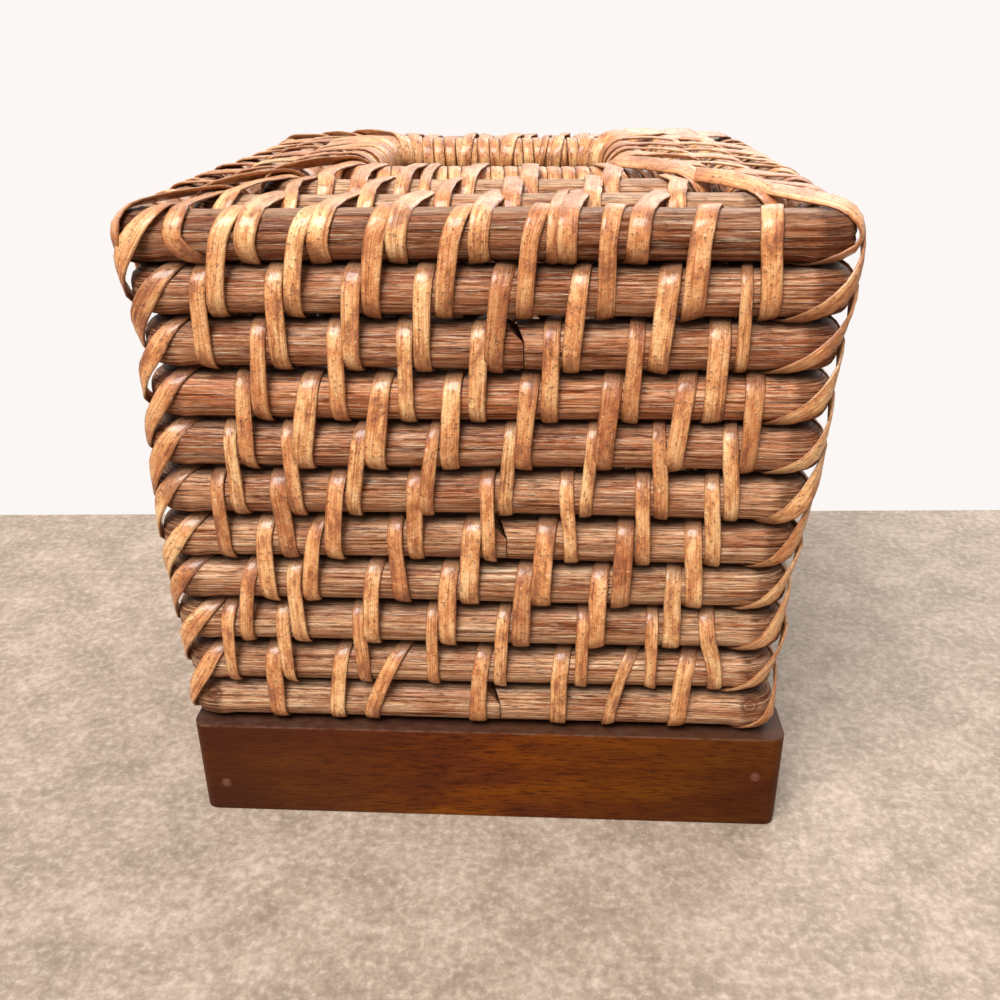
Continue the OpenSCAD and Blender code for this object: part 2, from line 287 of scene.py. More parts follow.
rod_material = rattan_rod("peeled_rattan_core_lacquered")
coarse_rod_material = rattan_rod("peeled_rattan_core_coarse_ridges", coarse=1.9)
mark_y, mark_z = hoops[course_count].half_y + 3.5, hoops[course_count].z + 2.4
mark_places = [(-66.4, -mark_y), (64.4, -mark_y), (66.4, mark_y), (-64.4, mark_y)]
nail_marks = [(x, y, mark_z) for x, y in mark_places]
low_rod_material = rattan_rod("peeled_rattan_core_with_nail_marks", nail_marks=nail_marks)
print("made", rod_material.name)

# %% [markdown]
# Blender's operators work on the active object, on what is selected, and in edit or object mode, just
# as a hand at the screen does. These helpers set that state, and read or move all points of a mesh at
# once, in millimetres.

# %% Helpers for meshes
def mode(name):
    """Switches the active object to EDIT or OBJECT mode."""
    bpy.ops.object.mode_set(mode=name)


def deselect_everything():
    if bpy.context.object and bpy.context.object.mode != "OBJECT":
        mode("OBJECT")
    bpy.ops.object.select_all(action="DESELECT")


def make_active(piece):
    """Selects one object and nothing else."""
    deselect_everything()
    piece.select_set(True)
    bpy.context.view_layer.objects.active = piece


def turn_normals_outwards():
    """Makes all faces look outwards, and leaves edit mode."""
    bpy.ops.mesh.select_all(action="SELECT")
    bpy.ops.mesh.normals_make_consistent(inside=False)
    mode("OBJECT")


def points_of(piece):
    flat = np.zeros(len(piece.data.vertices) * 3)
    piece.data.vertices.foreach_get("co", flat)
    return flat.reshape(-1, 3) / mm


def put_points(piece, points):
    piece.data.vertices.foreach_set("co", (points * mm).ravel())
    piece.data.update()


def keep_attribute(piece, name, kind, values):
    data = piece.data.attributes.new(name, kind, "POINT").data
    values = np.ascontiguousarray(values, dtype=np.float32).ravel()
    data.foreach_set("vector" if kind == "FLOAT_VECTOR" else "value", values)


print("points are counted in steps of", mm, "m")

# %% [markdown]
# A hoop begins as a circle, the rod's cut face, standing at the butt joint where the real rod's two
# ends meet. It is extruded along the straight, spun a quarter turn round the corner, and so on round
# all four sides, as the rod itself is bent. A curve with a round bevel would be quicker, but it can't
# have open, slanted ends. The long faces are then subdivided, because the ends, the wave of the rod
# and its ridges are made by moving points.

# %% Rods bent from a circle
ring_points = 40
bend_steps = 9
joint_places = {3: 7.2, 7: 6.4, 11: 4.6}
joint_place = 3.5
joint_gap = 0.3


def joint_side(k):
    """Side with the butt joint: 0 front, 1 right, 2 back, 3 left, as in the CAD model."""
    return (k + 1) % 4 if k >= 1 else (-k) % 4


def bend_rod(hoop):
    """A rod bent square with its butt joint on the front, half its straights, and the joint's place."""
    turned = joint_side(hoop.k) % 2
    across = (hoop.half_y if turned else hoop.half_x) - hoop.bend
    deep = (hoop.half_x if turned else hoop.half_y) - hoop.bend
    start = joint_places.get(hoop.k, joint_place)
    deselect_everything()
    bpy.ops.mesh.primitive_circle_add(
        vertices=ring_points, radius=rod_radius * mm, fill_type="NOTHING",
        location=(start * mm, -(deep + hoop.bend) * mm, hoop.z * mm), rotation=(0, math.pi / 2, 0),
    )
    piece = bpy.context.object
    bpy.ops.object.transform_apply(location=True, rotation=True, scale=True)
    mode("EDIT")
    bpy.ops.mesh.select_all(action="SELECT")
    last_run = across + start - joint_gap
    runs = [(across - start, 0), (0, 2 * deep), (-2 * across, 0), (0, -2 * deep), (last_run, 0)]
    corners = [(across, -deep), (across, deep), (-across, deep), (-across, -deep)]
    quarter_turn = spin_sign * math.pi / 2
    for i, (run_x, run_y) in enumerate(runs):
        bpy.ops.mesh.extrude_edges_move(TRANSFORM_OT_translate={"value": (run_x * mm, run_y * mm, 0)})
        if i < len(corners):
            centre = (corners[i][0] * mm, corners[i][1] * mm, hoop.z * mm)
            bpy.ops.mesh.spin(steps=bend_steps, angle=quarter_turn, center=centre, axis=(0, 0, 1))
    mode("OBJECT")
    return piece, across, deep, start


def select_long_edges(piece, shortest):
    """Selects the edges that run along the rod's straights, and nothing else."""
    mode("EDIT")
    bpy.ops.mesh.select_mode(type="EDGE")
    bpy.ops.mesh.select_all(action="DESELECT")
    mode("OBJECT")
    points = points_of(piece)
    ends = np.zeros(len(piece.data.edges) * 2, dtype=int)
    piece.data.edges.foreach_get("vertices", ends)
    ends = ends.reshape(-1, 2)
    lengths = np.linalg.norm(points[ends[:, 0]] - points[ends[:, 1]], axis=1)
    piece.data.edges.foreach_set("select", lengths > shortest)
    return lengths[lengths > shortest]


# The way a spin turns is tried once on a small ring, so that no sign has to be guessed
deselect_everything()
bpy.ops.mesh.primitive_circle_add(vertices=3, radius=0.1, fill_type="NOTHING", location=(1, 0, 0))
mode("EDIT")
bpy.ops.mesh.select_all(action="SELECT")
bpy.ops.mesh.spin(steps=1, angle=math.pi / 2, center=(0, 0, 0), axis=(0, 0, 1))
mode("OBJECT")
trial = bpy.context.object
trial_y = [(trial.matrix_world @ v.co).y for v in trial.data.vertices]
spin_sign = 1 if max(trial_y) > 0.5 else -1
bpy.data.objects.remove(trial)
print("spin sign", spin_sign)

# %% [markdown]
# Now each rod gets what makes it a grown thing: it is unrolled in code to know, for every point, how
# far along the rod it lies and at which side of it. From that come the grain attribute, the shallow
# ridges, the creases on the inside of the bends, the slanted cut ends of the joint, and the wave.
# The lashings later follow the same wave, so the strips stay in touch with the rods.

# %% Ridges, joints and waves
rod_tones = {
    -2: 0.5, -1: 0.68, 0: 0.7, 1: 0.1, 2: 0.25, 3: 0.22, 4: 0.92,
    5: 0.25, 6: 0.42, 7: 0.58, 8: 0.68, 9: 0.7, 10: 0.72, 11: 0.7,
}
ridge_depths = {1: 0.34, 2: 0.2}
ridge_depth = 0.13
segment_length = 3.2


def way_along(hoop, core_x, core_y, plan, across, deep):
    """Millimetres along the rod, from the front's middle anticlockwise seen from above."""
    close = 1e-4
    on_front = plan < 1e-3
    on_right = (core_x >= across - close) & (plan < math.pi)
    on_back = core_y >= deep - close
    on_left = (core_x <= -across + close) & (plan < 2 * math.pi - 1e-3)
    straights = np.select(
        [on_front, on_right, on_back, on_left],
        [core_x, across + deep + core_y, 2 * across + 2 * deep - core_x, 3 * across + 3 * deep - core_y],
        default=4 * across + 4 * deep + core_x,
    )
    return straights + (hoop.bend + 2) * plan


def shape_rod(piece, hoop, across, deep, start):
    p = points_of(piece)
    core_x, core_y = np.clip(p[:, 0], -across, across), np.clip(p[:, 1], -deep, deep)
    away_x, away_y = p[:, 0] - core_x, p[:, 1] - core_y
    reach = np.hypot(away_x, away_y)
    out = reach - hoop.bend
    up = p[:, 2] - hoop.z
    plan = np.arctan2(away_x, -away_y) % (2 * math.pi)
    # The last straight ends where the first one begins, so its points are told apart by their place
    on_last_run = (core_y <= -deep + 1e-4) & (core_x < start - 0.01)
    plan = np.where((plan < 1e-4) & on_last_run, 2 * math.pi, plan)
    plan = np.where((plan > 2 * math.pi - 1e-3) & ~on_last_run, 0, plan)
    along = way_along(hoop, core_x, core_y, plan, across, deep)
    angle = np.arctan2(up, out)

    # Ridges of the fibre bundles, deeper on the coarse top course, always cut into the round
    depth = ridge_depths.get(hoop.k, ridge_depth)
    ridges = sum(
        np.sin(angle * count + phase + 0.9 * np.sin(along / length + phase))
        for count, phase, length in ((9, 1.1, 31), (14, 2.7, 23), (19, 0.4, 17))
    )
    cut = depth * (0.5 + ridges / 6)
    # The outside of a tight bend is flattened, so its section is squarer there
    bent = np.clip(np.minimum(abs(away_x), abs(away_y)) / (0.55 * hoop.bend), 0, 1)
    bent = bent * bent * (3 - 2 * bent)
    power = 2 + 0.9 * bent * (hoop.k > 0) * np.clip(np.cos(angle) * 2 + 0.6, 0, 1)
    cut -= rod_radius * ((abs(np.cos(angle)) ** power + abs(np.sin(angle)) ** power) ** (-1 / power) - 1)
    # Wrinkles across the inside of a bend, where the rod is squeezed
    cut += bent * 0.12 * (1 + np.sin(along * 2.6)) * (0.6 - 0.4 * np.cos(angle))
    shrink = 1 - cut / rod_radius
    radial = (hoop.bend + out * shrink) / np.maximum(reach, 1e-6)
    q = np.stack([core_x + away_x * radial, core_y + away_y * radial, hoop.z + up * shrink], axis=1)

    # The two ends of the rod: a slant with a chipped upper corner on one side and a tight crack below
    height = up / rod_radius
    slant = 1.0 - 3.6 * np.clip(height - 0.36, 0, 1)
    opening = 0.16 + 1.2 * np.clip((height - 0.38) / 0.25, 0, 1)
    at_start = (abs(p[:, 0] - start) < 0.01) & (core_y <= -deep + 1e-4) & ~on_last_run
    at_end = (abs(p[:, 0] - (start - joint_gap)) < 0.02) & on_last_run
    q[at_start, 0] = start + (slant + opening * 0.4)[at_start]
    q[at_end, 0] = start + (slant - opening)[at_end]

    # Turned to the joint's side, shifted and waved
    for _ in range(joint_side(hoop.k)):
        q = np.stack([-q[:, 1], q[:, 0], q[:, 2]], axis=1)
    swing_out, swing_up = wave(hoop.k, q[:, 0], q[:, 1])
    lean_x = np.clip((abs(q[:, 0]) - (hoop.half_x - hoop.bend)) / hoop.bend, 0, 1) * np.sign(q[:, 0])
    lean_y = np.clip((abs(q[:, 1]) - (hoop.half_y - hoop.bend)) / hoop.bend, 0, 1) * np.sign(q[:, 1])
    q[:, 0] += hoop.shift + swing_out * lean_x
    q[:, 1] += swing_out * lean_y
    q[:, 2] += swing_up
    q = tighten_corners(q, hoop.half_x, hoop.half_y, hoop.bend, hoop.shift, corner_power(hoop.k))
    put_points(piece, q)
    # Every rod reads another part of the pattern
    grain = np.stack([along + 400 * (hoop.k + 3), out + 20 * hoop.k, up], axis=1)
    keep_attribute(piece, "grain", "FLOAT_VECTOR", grain)
    keep_attribute(piece, "tone", "FLOAT", np.full(len(q), rod_tones[hoop.k]))
    keep_attribute(piece, "bend", "FLOAT", bent)
    # Which way the next rods lie, for the painted shade between them: above and below in the walls, beside
    # each other on the top
    if hoop.k > 1:
        touching = abs(up)
    elif hoop.k == 1:
        touching = np.maximum(-up, -out)
    else:
        touching = np.maximum(abs(out), -up)
    keep_attribute(piece, "crevice", "FLOAT", touching / rod_radius)


print("rod tones:", len(rod_tones))

# %% [markdown]
# All fourteen hoops go through the same steps: bend, subdivide, merge doubles, close the two cut ends,
# and shape. The round of the rod is smooth shaded and the cut ends stay flat, so their edges look sawn.

# %% Make all rods
own_materials = {1: coarse_rod_material, course_count: low_rod_material}
for k in sorted(hoops):
    hoop = hoops[k]
    piece, across, deep, start = bend_rod(hoop)
    piece.name = f"rod_{hoop.name}"
    piece.data.name = piece.name
    lengths = select_long_edges(piece, 8)
    mode("EDIT")
    bpy.ops.mesh.subdivide(number_cuts=int(lengths.mean() / segment_length))
    bpy.ops.mesh.select_all(action="SELECT")
    bpy.ops.mesh.remove_doubles(threshold=0.01 * mm)
    bpy.ops.mesh.select_all(action="DESELECT")
    bpy.ops.mesh.select_non_manifold()
    bpy.ops.mesh.fill_holes(sides=0)
    turn_normals_outwards()
    shape_rod(piece, hoop, across, deep, start)
    smooth = [len(face.vertices) == 4 for face in piece.data.polygons]
    piece.data.polygons.foreach_set("use_smooth", smooth)
    piece.data.materials.clear()
    piece.data.materials.append(own_materials.get(k, rod_material))
    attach(piece, "root")
    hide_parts(hoop.name)
    print(piece.name, len(piece.data.polygons), "faces")

# %% [markdown]
# The lashings are split cane: strips of the glossy skin of rattan, flat inside and rounded outside.
# Each row is one long strip that is wound round two neighbouring hoops like thread round two pencils,
# and moves to the left with every turn. A sheet bent by hand for each turn would never close up with
# the next one, so the strip is computed: first a path, then a cross-section that is swept along it.
# The path needs a place on the pair of hoops. It is given by a side number and a share of that side,
# so that -1 and 1 are the corners, and a turn can pass a corner without a jump.

# %% Places on a pair of hoops
def side_length(k, side):
    """Distance on the outside from the middle of a side to the middle of its corner."""
    hoop = hoops[k]
    half = hoop.half_y if side % 2 else hoop.half_x
    return half - hoop.bend + math.pi / 4 * (hoop.bend + rod_radius)


def share(k, side, x):
    """Winding coordinate of a place x mm right of the middle of a side, seen from outside."""
    middle = hoops[k].shift * {0: 1, 1: 0, 2: -1, 3: 0}[side % 4]
    return 2 * side + (x - middle) / side_length(k, side)


def wound(k, part, side, x):
    """The same for a place x mm right of the middle, part of the way from hoop k to hoop k + 1."""
    if part == 0:
        return share(k, side, x)
    return share(k, side, x) * (1 - part) + share(k + 1, side, x) * part


def turn_to_side(x, y, quarter):
    """Turns places or directions on the front to another side, by its number of quarter turns."""
    cosine, sine = np.array([1, 0, -1, 0])[quarter], np.array([0, 1, 0, -1])[quarter]
    return x * cosine - y * sine, x * sine + y * cosine


def pair_places(k, part, turn):
    """Centre line points of the hoops, part of the way from k to k + 1, and the way outwards."""
    upper, lower = hoops[k], hoops[k + 1]
    side = np.floor((turn + 1) / 2).astype(int)
    odd = side % 2 == 1

    def between(a, b):
        return a + (b - a) * part

    half_x, half_y = between(upper.half_x, lower.half_x), between(upper.half_y, lower.half_y)
    bend, z = between(upper.bend, lower.bend), between(upper.z, lower.z)
    shift = between(upper.shift, lower.shift)
    wide, deep = np.where(odd, half_y, half_x), np.where(odd, half_x, half_y)
    straight = wide - bend
    x = (turn - 2 * side) * (straight + math.pi / 4 * (bend + rod_radius))
    angle = np.clip(abs(x) - straight, 0, None) / (bend + rod_radius) * np.sign(x)
    px = np.clip(x, -straight, straight) + bend * np.sin(angle)
    py = -(deep - bend) - bend * np.cos(angle)
    px, py = turn_to_side(px, py, side % 4)
    ox, oy = turn_to_side(np.sin(angle), -np.cos(angle), side % 4)
    out_a, up_a = wave(k, px, py)
    out_b, up_b = wave(k + 1, px, py)
    swing, rise = between(out_a, out_b), between(up_a, up_b)
    centre = np.stack([px + ox * swing + shift, py + oy * swing, z + rise], axis=1)
    sizes = (half_x, half_y, bend, shift, between(corner_power(k), corner_power(k + 1)))
    return centre, np.stack([ox, oy, 0 * ox], axis=1), sizes


print("half a side, outside of hoop 1:", round(side_length(1, 0), 1), "mm")

# %% [markdown]
# The photograph shows where every turn crosses the front. The table below has those places: for each
# row the strip's place on top of the upper hoop and its place under the lower hoop, in millimetres right
# of the middle, and the strip's width. A fourth number bows the strip to one side.
# The other three sides are hidden, so the same rhythm is used there with small changes, because one
# person bound all four walls.

# %% Turns of the strips on the front
front_turns = {
    1: [(-46.5, -52.7, 3.8), (-31.3, -36.9, 3.8), (-16.2, -21, 3.8), (-1.1, -6.3, 3.8),
        (13.9, 9.9, 3.9), (27.9, 26.2, 3.8), (46.1, 43.3, 4.6), (58.1, 58.7, 4.3)],
    2: [(-54.3, -56.5, 3.8), (-39.2, -40.5, 3.8), (-23.1, -25.5, 3.9), (-8.9, -10.9, 3.8),
        (6.9, 3.7, 3.9), (22.3, 19.6, 3.8), (39.6, 37.4, 4.4), (54.3, 54.2, 2.7)],
    3: [(-44, -45.6, 3.4), (-28.1, -29, 3.6), (-13.7, -14.6, 3.5), (1.8, 0.2, 3.5),
        (16.3, 15.4, 3.5), (33.6, 32.2, 3.5), (50.1, 49.4, 4.5)],
    4: [(-48.9, -49.6, 3.2), (-34, -37.8, 4.3), (-18.8, -22.1, 4.3), (-4.2, -5.9, 4.1),
        (12, 9.7, 3.9), (29.2, 26.9, 3.9), (44.7, 41.8, 3.9), (58.3, 57.2, 4.2)],
    5: [(-52.9, -53.2, 3.1), (-40.1, -40, 3.3), (-23.8, -27.6, 3.1), (-8.2, -11.6, 3),
        (8, 5.9, 3.1), (25.5, 23.5, 3), (39.1, 40.1, 3), (54, 55.1, 3.2)],
    6: [(-57.3, -57.7, 3.4), (-43.4, -43.2, 3.9), (-30.1, -33, 4.2), (-13.2, -14.4, 3.4),
        (2.5, 2.4, 3.3), (19.8, 20.7, 3.4), (36.3, 36.6, 3.3), (51.2, 52.1, 3.4)],
    7: [(-47.4, -48.9, 4), (-35.1, -39.4, 3.7), (-18.4, -18.2, 4), (-0.5, -2.6, 4.6),
        (15.9, 13.8, 4.6), (33.2, 31.9, 4.2), (48, 48.7, 4)],
    8: [(-51.2, -55.8, 3.4), (-42.1, -42.7, 3.9), (-23.2, -26, 3.8), (-6, -7.9, 4),
        (11.5, 9.2, 4.1), (28.3, 26.8, 4), (44.6, 44.2, 3.8)],
    9: [(-58.6, -60.5, 3.1), (-46, -46.6, 3.1), (-28.2, -28.3, 3.1), (-10.6, -11.7, 3),
        (6.2, 4.3, 3.1), (24.4, 23.6, 3), (40.2, 40.2, 3.1), (52.6, 55.6, 4)],
    10: [(-49.7, -50.5, 4), (-32.5, -35.9, 3.8), (-17.8, -27.8, 3.7), (1.4, -1.4, 3.9),
         (20, 18.2, 3.7), (36.7, 30.2, 2.9), (49.9, 46.9, 3.9)],
    0: [(-57.5, -55.1, 4.4, -4), (-40.6, -45, 4.4), (-25.5, -30.5, 4.4), (-11, -15, 4.4),
        (4.7, 1.2, 4.4), (17.6, 15.6, 2.4), (21.2, 18.4, 4.3), (37.9, 32.2, 4.4)],
    -1: [(-47.5, -54, 4), (-38.5, -39.1, 3.8), (-21, -23.4, 4), (-5.2, -7.5, 3.8),
         (7, 7.3, 4), (24, 23.6, 4), (41.6, 40.7, 4)],
    -2: [(-34.5, -33.7, 3.6), (-25.1, -27.1, 3.6), (-14.8, -17.4, 3.4), (-11.2, -12.4, 2.4),
         (-1.1, -3.3, 3.8), (10.2, 10.6, 3.8), (28.3, 28.1, 4)],
}
# Where a strip turns a corner: its place before the corner on the left end of a side, and after it
# on the right end of the next side
corner_turns = {
    1: (-61.5, 63.5), 2: (-60, 62.5), 3: (-61.5, 62), 4: (-62, 63), 5: (-63.5, 63), 6: (-65, 63),
    7: (-64, 60.6), 8: (-64.5, 61.7), 9: (-62, 60.2), 10: (-63, 63.7),
    0: (-60.5, 66), -1: (-50.5, 57), -2: (-38.5, 44),
}
print("turns on the front:", sum(len(turns) for turns in front_turns.values()))

# %% [markdown]
# The table is now made into whole rows. A row runs from right to left round the four sides, with one
# more turn at each corner. The turns of the hidden sides are moved along a little and changed at
# random, from a fixed seed, so that the cover comes out the same every time.

# %% Turns round all four sides
random_strip = np.random.default_rng(21)
# How far the turns of each side are moved along, and the largest random changes of place and width
side_drift = {0: 0, -1: 1.6, -2: -1.8, -3: 0.9}
place_change, width_change, corner_change = 0.6, 0.3, 1
corner_width, flat_corner_width = 3.6, 4.0


def turns_of_row(k):
    """All turns of a row: top and low winding coordinate, width, whether at a corner, and the places."""
    turns = []
    top_corner, low_corner = corner_turns[k]
    for side, drift in side_drift.items():
        for top, low, width, *more in sorted(front_turns[k], reverse=True):
            if side != 0:
                change = drift + random_strip.uniform(-place_change, place_change)
                top, low = top + change, low + change
                width += random_strip.uniform(-width_change, width_change)
            places = (side, top, low, more[0] if more else 0)
            turns.append([share(k, side, top), share(k + 1, side, low), width, 0, places])
        change = random_strip.uniform(-corner_change, corner_change)
        top, low = share(k, side, top_corner + change * 0.5), share(k + 1, side - 1, low_corner + change)
        turns.append([top, low, flat_corner_width if k < 1 else corner_width, 1, None])
    return turns


row_turns = {k: turns_of_row(k) for k in sorted(front_turns)}
print("turns of row 1 round the cover:", len(row_turns[1]))

# %% [markdown]
# One turn has four parts: an arc over the upper hoop, a leg down the outside, an arc under the lower
# hoop, and a leg back up the inside. The strip comes from the right over the upper hoop and lies
# almost straight on the outside, and most of its way to the next turn is on the inside. Where the lower
# end would lie on a strip of the next row, it rides over that strip. At a corner the strip can't
# follow the sharp bend and stands away from it.

# %% Path of one row
leg_points = 5
arc_angles = np.radians([-90, -72, -54, -36, -18, 0, 18, 36, 54, 72])
arc = math.pi * rod_radius
strip_thickness = 0.62
# How far a strip's inner face stays off the rod, off the rim's wrapping, and off the rod at a corner
strip_clearance = 0.03
wrapping_lift = 0.6
corner_lift = 0.75
# The same for the lower end of a turn, in the open and where it rides over the next row's strip
open_lift, riding_lift = 0.12, 0.66


def leg_length(k):
    """Distance between the centre lines of hoops k and k + 1, which is the straight leg of a turn."""
    return math.hypot(hoops[k].half_y - hoops[k + 1].half_y, hoops[k].z - hoops[k + 1].z)


def smooth_between(knots, values, places):
    """A soft curve through the values, with the mean slope of both neighbours at each knot."""
    slopes = np.diff(values) / np.diff(knots)
    at = np.concatenate([[slopes[0]], (slopes[1:] + slopes[:-1]) / 2, [slopes[-1]]])
    i = np.clip(np.searchsorted(knots, places, side="right") - 1, 0, len(knots) - 2)
    span = knots[i + 1] - knots[i]
    t = (places - knots[i]) / span
    return (
        (2 * t**3 - 3 * t**2 + 1) * values[i] + (t**3 - 2 * t**2 + t) * span * at[i]
        + (3 * t**2 - 2 * t**3) * values[i + 1] + (t**3 - t**2) * span * at[i + 1]
    )


def turn_knots(k, turn, leg):
    """Where one turn passes: how far along the turn, and at which winding coordinate."""
    top, low, _, corner, front = turn
    lean = top - low
    unit = side_length(k, 0)
    under, inside = arc + leg, 2 * arc + leg
    if corner and k < 1:
        # Over the corner itself, round the end of the outer hoop, and in a sweep back under it
        return [
            (0, top + 2 / unit), (arc / 2, top + 1 / unit), (arc, top), (under, top + 0.4 / unit),
            (1.25 * arc + leg, top + 1.2 / unit), (1.5 * arc + leg, top + 1.6 / unit),
            (1.8 * arc + leg, low + 0.5 * lean), (inside, low),
        ]
    if corner:
        return [
            (0, top + 3 / unit), (arc / 2, top), (arc, top - 0.28 * lean),
            (arc + leg / 2, top - 0.48 * lean), (under, top - 0.66 * lean),
            (1.36 * arc + leg, low), (inside, low - 6 / unit),
        ]
    if k < 1:
        side, x_top, x_low, bow = front
        stations = [
            (0, 0, x_top + 2.4), (arc / 2, 0, x_top + 1.2), (arc, 0, x_top),
            (arc + leg / 2, 0.5, x_top + 0.45 * (x_low - x_top) + 0.4 * bow),
            (under, 1, x_low + 0.3 * (x_top - x_low) + 0.75 * bow),
            (1.5 * arc + leg, 1, x_low + bow), (1.8 * arc + leg, 1, x_low), (inside, 1, x_low - 1),
        ]
        return [(place, wound(k, part, side, x)) for place, part, x in stations]
    begin = top - max(0.42 * lean, 0.1 * lean) - 0.5 / unit
    end = low + 0.1 * lean
    return [
        (0, top + 3.2 / unit), (arc / 2, top), (arc, begin),
        (arc + leg / 2, begin + 0.55 * (end - begin)), (under, end),
        (1.5 * arc + leg, low), (inside, low - 1.8 / unit),
    ]


def ride_height(k, turn):
    """How far the lower end of a turn stands off, which is more where it lies on the next row's strip."""
    top, low, width, _, _ = turn
    if k < course_count - 1 and k != 0:
        next_tops = np.array([other[0] for other in row_turns[k + 1]])
        gap = np.abs((low + 0.04 * (top - low) - next_tops + 4) % 8 - 4) * side_length(k, 0)
        if gap.min() < width * 0.5 + 1.9:
            return riding_lift
    return open_lift


def row_path(k):
    """Ring by ring: centre under the strip, way up from the rod, and what the ring looks like."""
    turns = row_turns[k]
    upper, lower = hoops[k], hoops[k + 1]
    leg = leg_length(k)
    period = 2 * arc + 2 * leg
    # One ring: way along the turn, part 0 to 3 of the turn, angle on the arc, part from hoop to hoop
    steps = [(arc * (angle / math.pi + 0.5), 0, angle, 0.0) for angle in arc_angles]
    steps += [(arc + leg * j / leg_points, 1, 0, j / leg_points) for j in range(leg_points)]
    steps += [(arc + leg + arc * (angle / math.pi + 0.5), 2, angle, 1.0) for angle in arc_angles]
    steps += [(2 * arc + leg + leg * j / leg_points, 3, 0, 1 - j / leg_points) for j in range(leg_points)]
    knots, values, rings = [], [], []
    for i, turn in enumerate(turns):
        for place, value in turn_knots(k, turn, leg):
            knots.append(i * period + place)
            values.append(value)
        width, corner = turn[2], turn[3]
        tone = random_strip.uniform(0, 1)
        ride_over = ride_height(k, turn)
        for place, kind, angle, part in steps:
            down = np.clip((place - arc) / (0.6 * leg), 0, 1)
            fade = np.clip(1 - (place - arc - leg) / (arc / 2), 0, 1)
            lift = ride_over * down * down * (3 - 2 * down) * fade
            way = np.clip((place - 0.35 * arc) / (1.3 * arc + leg), 0, 1)
            middle = math.sin(math.pi * way) if corner else 0
            lift += (1 if k < 2 else 0.3) * corner_lift * math.sqrt(middle)
            twist = (-0.5 if k < 1 else 0.15) * middle
            rings.append((i * period + place, kind, angle, part, width, tone, i, lift, twist))
    knots.append(len(turns) * period)
    values.append(values[0] - 8)
    names = ("place", "kind", "angle", "part", "width", "tone", "seed", "lift", "twist")
    rows = dict(zip(names, np.array(rings).T))
    turn = smooth_between(np.array(knots), np.array(values), rows["place"])
    centre, outward, sizes = pair_places(k, rows["part"], turn)
    pair = np.array([lower.half_y, lower.z]) - np.array([upper.half_y, upper.z])
    pair = pair / np.linalg.norm(pair)
    down3 = outward * pair[0] + np.array([0, 0, 1]) * pair[1]
    out3 = outward * -pair[1] + np.array([0, 0, 1]) * pair[0]
    c, s = np.cos(rows["angle"])[:, None], np.sin(rows["angle"])[:, None]
    ways = [-down3 * c + out3 * s, out3, down3 * c - out3 * s, -out3]
    up = np.select([rows["kind"][:, None] == number for number in range(4)], ways)
    # The row at the rim also passes over the rim's wrapping
    over_wrapping = wrapping_lift * (1 - rows["part"]) if k == -2 else 0
    centre = centre + up * (rod_radius + strip_clearance + over_wrapping + rows["lift"])[:, None]
    return centre, up, rows, sizes


print("one turn of row 1 is about", round(2 * arc + 2 * leg_length(1), 1), "mm of cane")

# %% [markdown]
# The cross-section is nine points: a rounded face outside, thin edges, and a flat face inside. It is
# set across the path at every ring, and its width changes a little on the way, because cane is split
# by hand. The mesh also gets its attributes here: cane holds millimetres along, the share across and
# a seed for the pattern, and tone is one number for each turn, since every turn has its own colour.

# %% Strips from the path
section = np.array([
    (-0.5, 0.4), (-0.455, 0.74), (-0.26, 0.95), (0, 1), (0.26, 0.95), (0.455, 0.74), (0.5, 0.4),
    (0.45, 0), (-0.45, 0),
])


def sweep_strip(name, centre, up, width, thickness, tone, seed, roll, ends, sizes=None):
    """A closed tube of the strip's section along a closed path, as a new object."""
    travel = np.roll(centre, -1, axis=0) - np.roll(centre, 1, axis=0)
    travel /= np.linalg.norm(travel, axis=1)[:, None]
    across = np.cross(travel, up)
    across /= np.linalg.norm(across, axis=1)[:, None]
    lifted = np.cross(across, travel)
    c, s = np.cos(roll)[:, None], np.sin(roll)[:, None]
    across, lifted = across * c + lifted * s, lifted * c - across * s
    count, n = len(centre), len(section)
    points = (
        centre[:, None, :] + across[:, None, :] * (section[None, :, 0] * width[:, None])[:, :, None]
        + lifted[:, None, :] * (section[None, :, 1] * thickness)[:, :, None]
    ).reshape(-1, 3)
    if sizes:
        points = tighten_corners(points, *(np.repeat(size, n) for size in sizes))
    ring = np.arange(count)[:, None] * n
    after = ((np.arange(count) + 1) % count)[:, None] * n
    i, j = np.arange(n)[None, :], (np.arange(n)[None, :] + 1) % n
    faces = np.stack([ring + i, ring + j, after + j, after + i], axis=2).reshape(-1, 4)
    mesh = bpy.data.meshes.new(name)
    mesh.from_pydata((points * mm).tolist(), [], faces.tolist())
    piece = new_object(name, mesh)
    make_active(piece)
    mode("EDIT")
    turn_normals_outwards()
    bpy.ops.object.shade_smooth()
    step = np.linalg.norm(np.diff(centre, axis=0), axis=1)
    along = np.concatenate([[0], np.cumsum(step)])
    cane = np.stack([np.repeat(along, n), np.tile(section[:, 0], count), np.repeat(seed, n)], axis=1)
    keep_attribute(piece, "cane", "FLOAT_VECTOR", cane)
    keep_attribute(piece, "tone", "FLOAT", np.repeat(tone, n))
    keep_attribute(piece, "ends", "FLOAT", np.repeat(ends, n))
    return piece


def soften(values, passes):
    for _ in range(passes):
        values = (np.roll(values, 1) + 2 * values + np.roll(values, -1)) / 4
    return values


print("section points:", len(section))
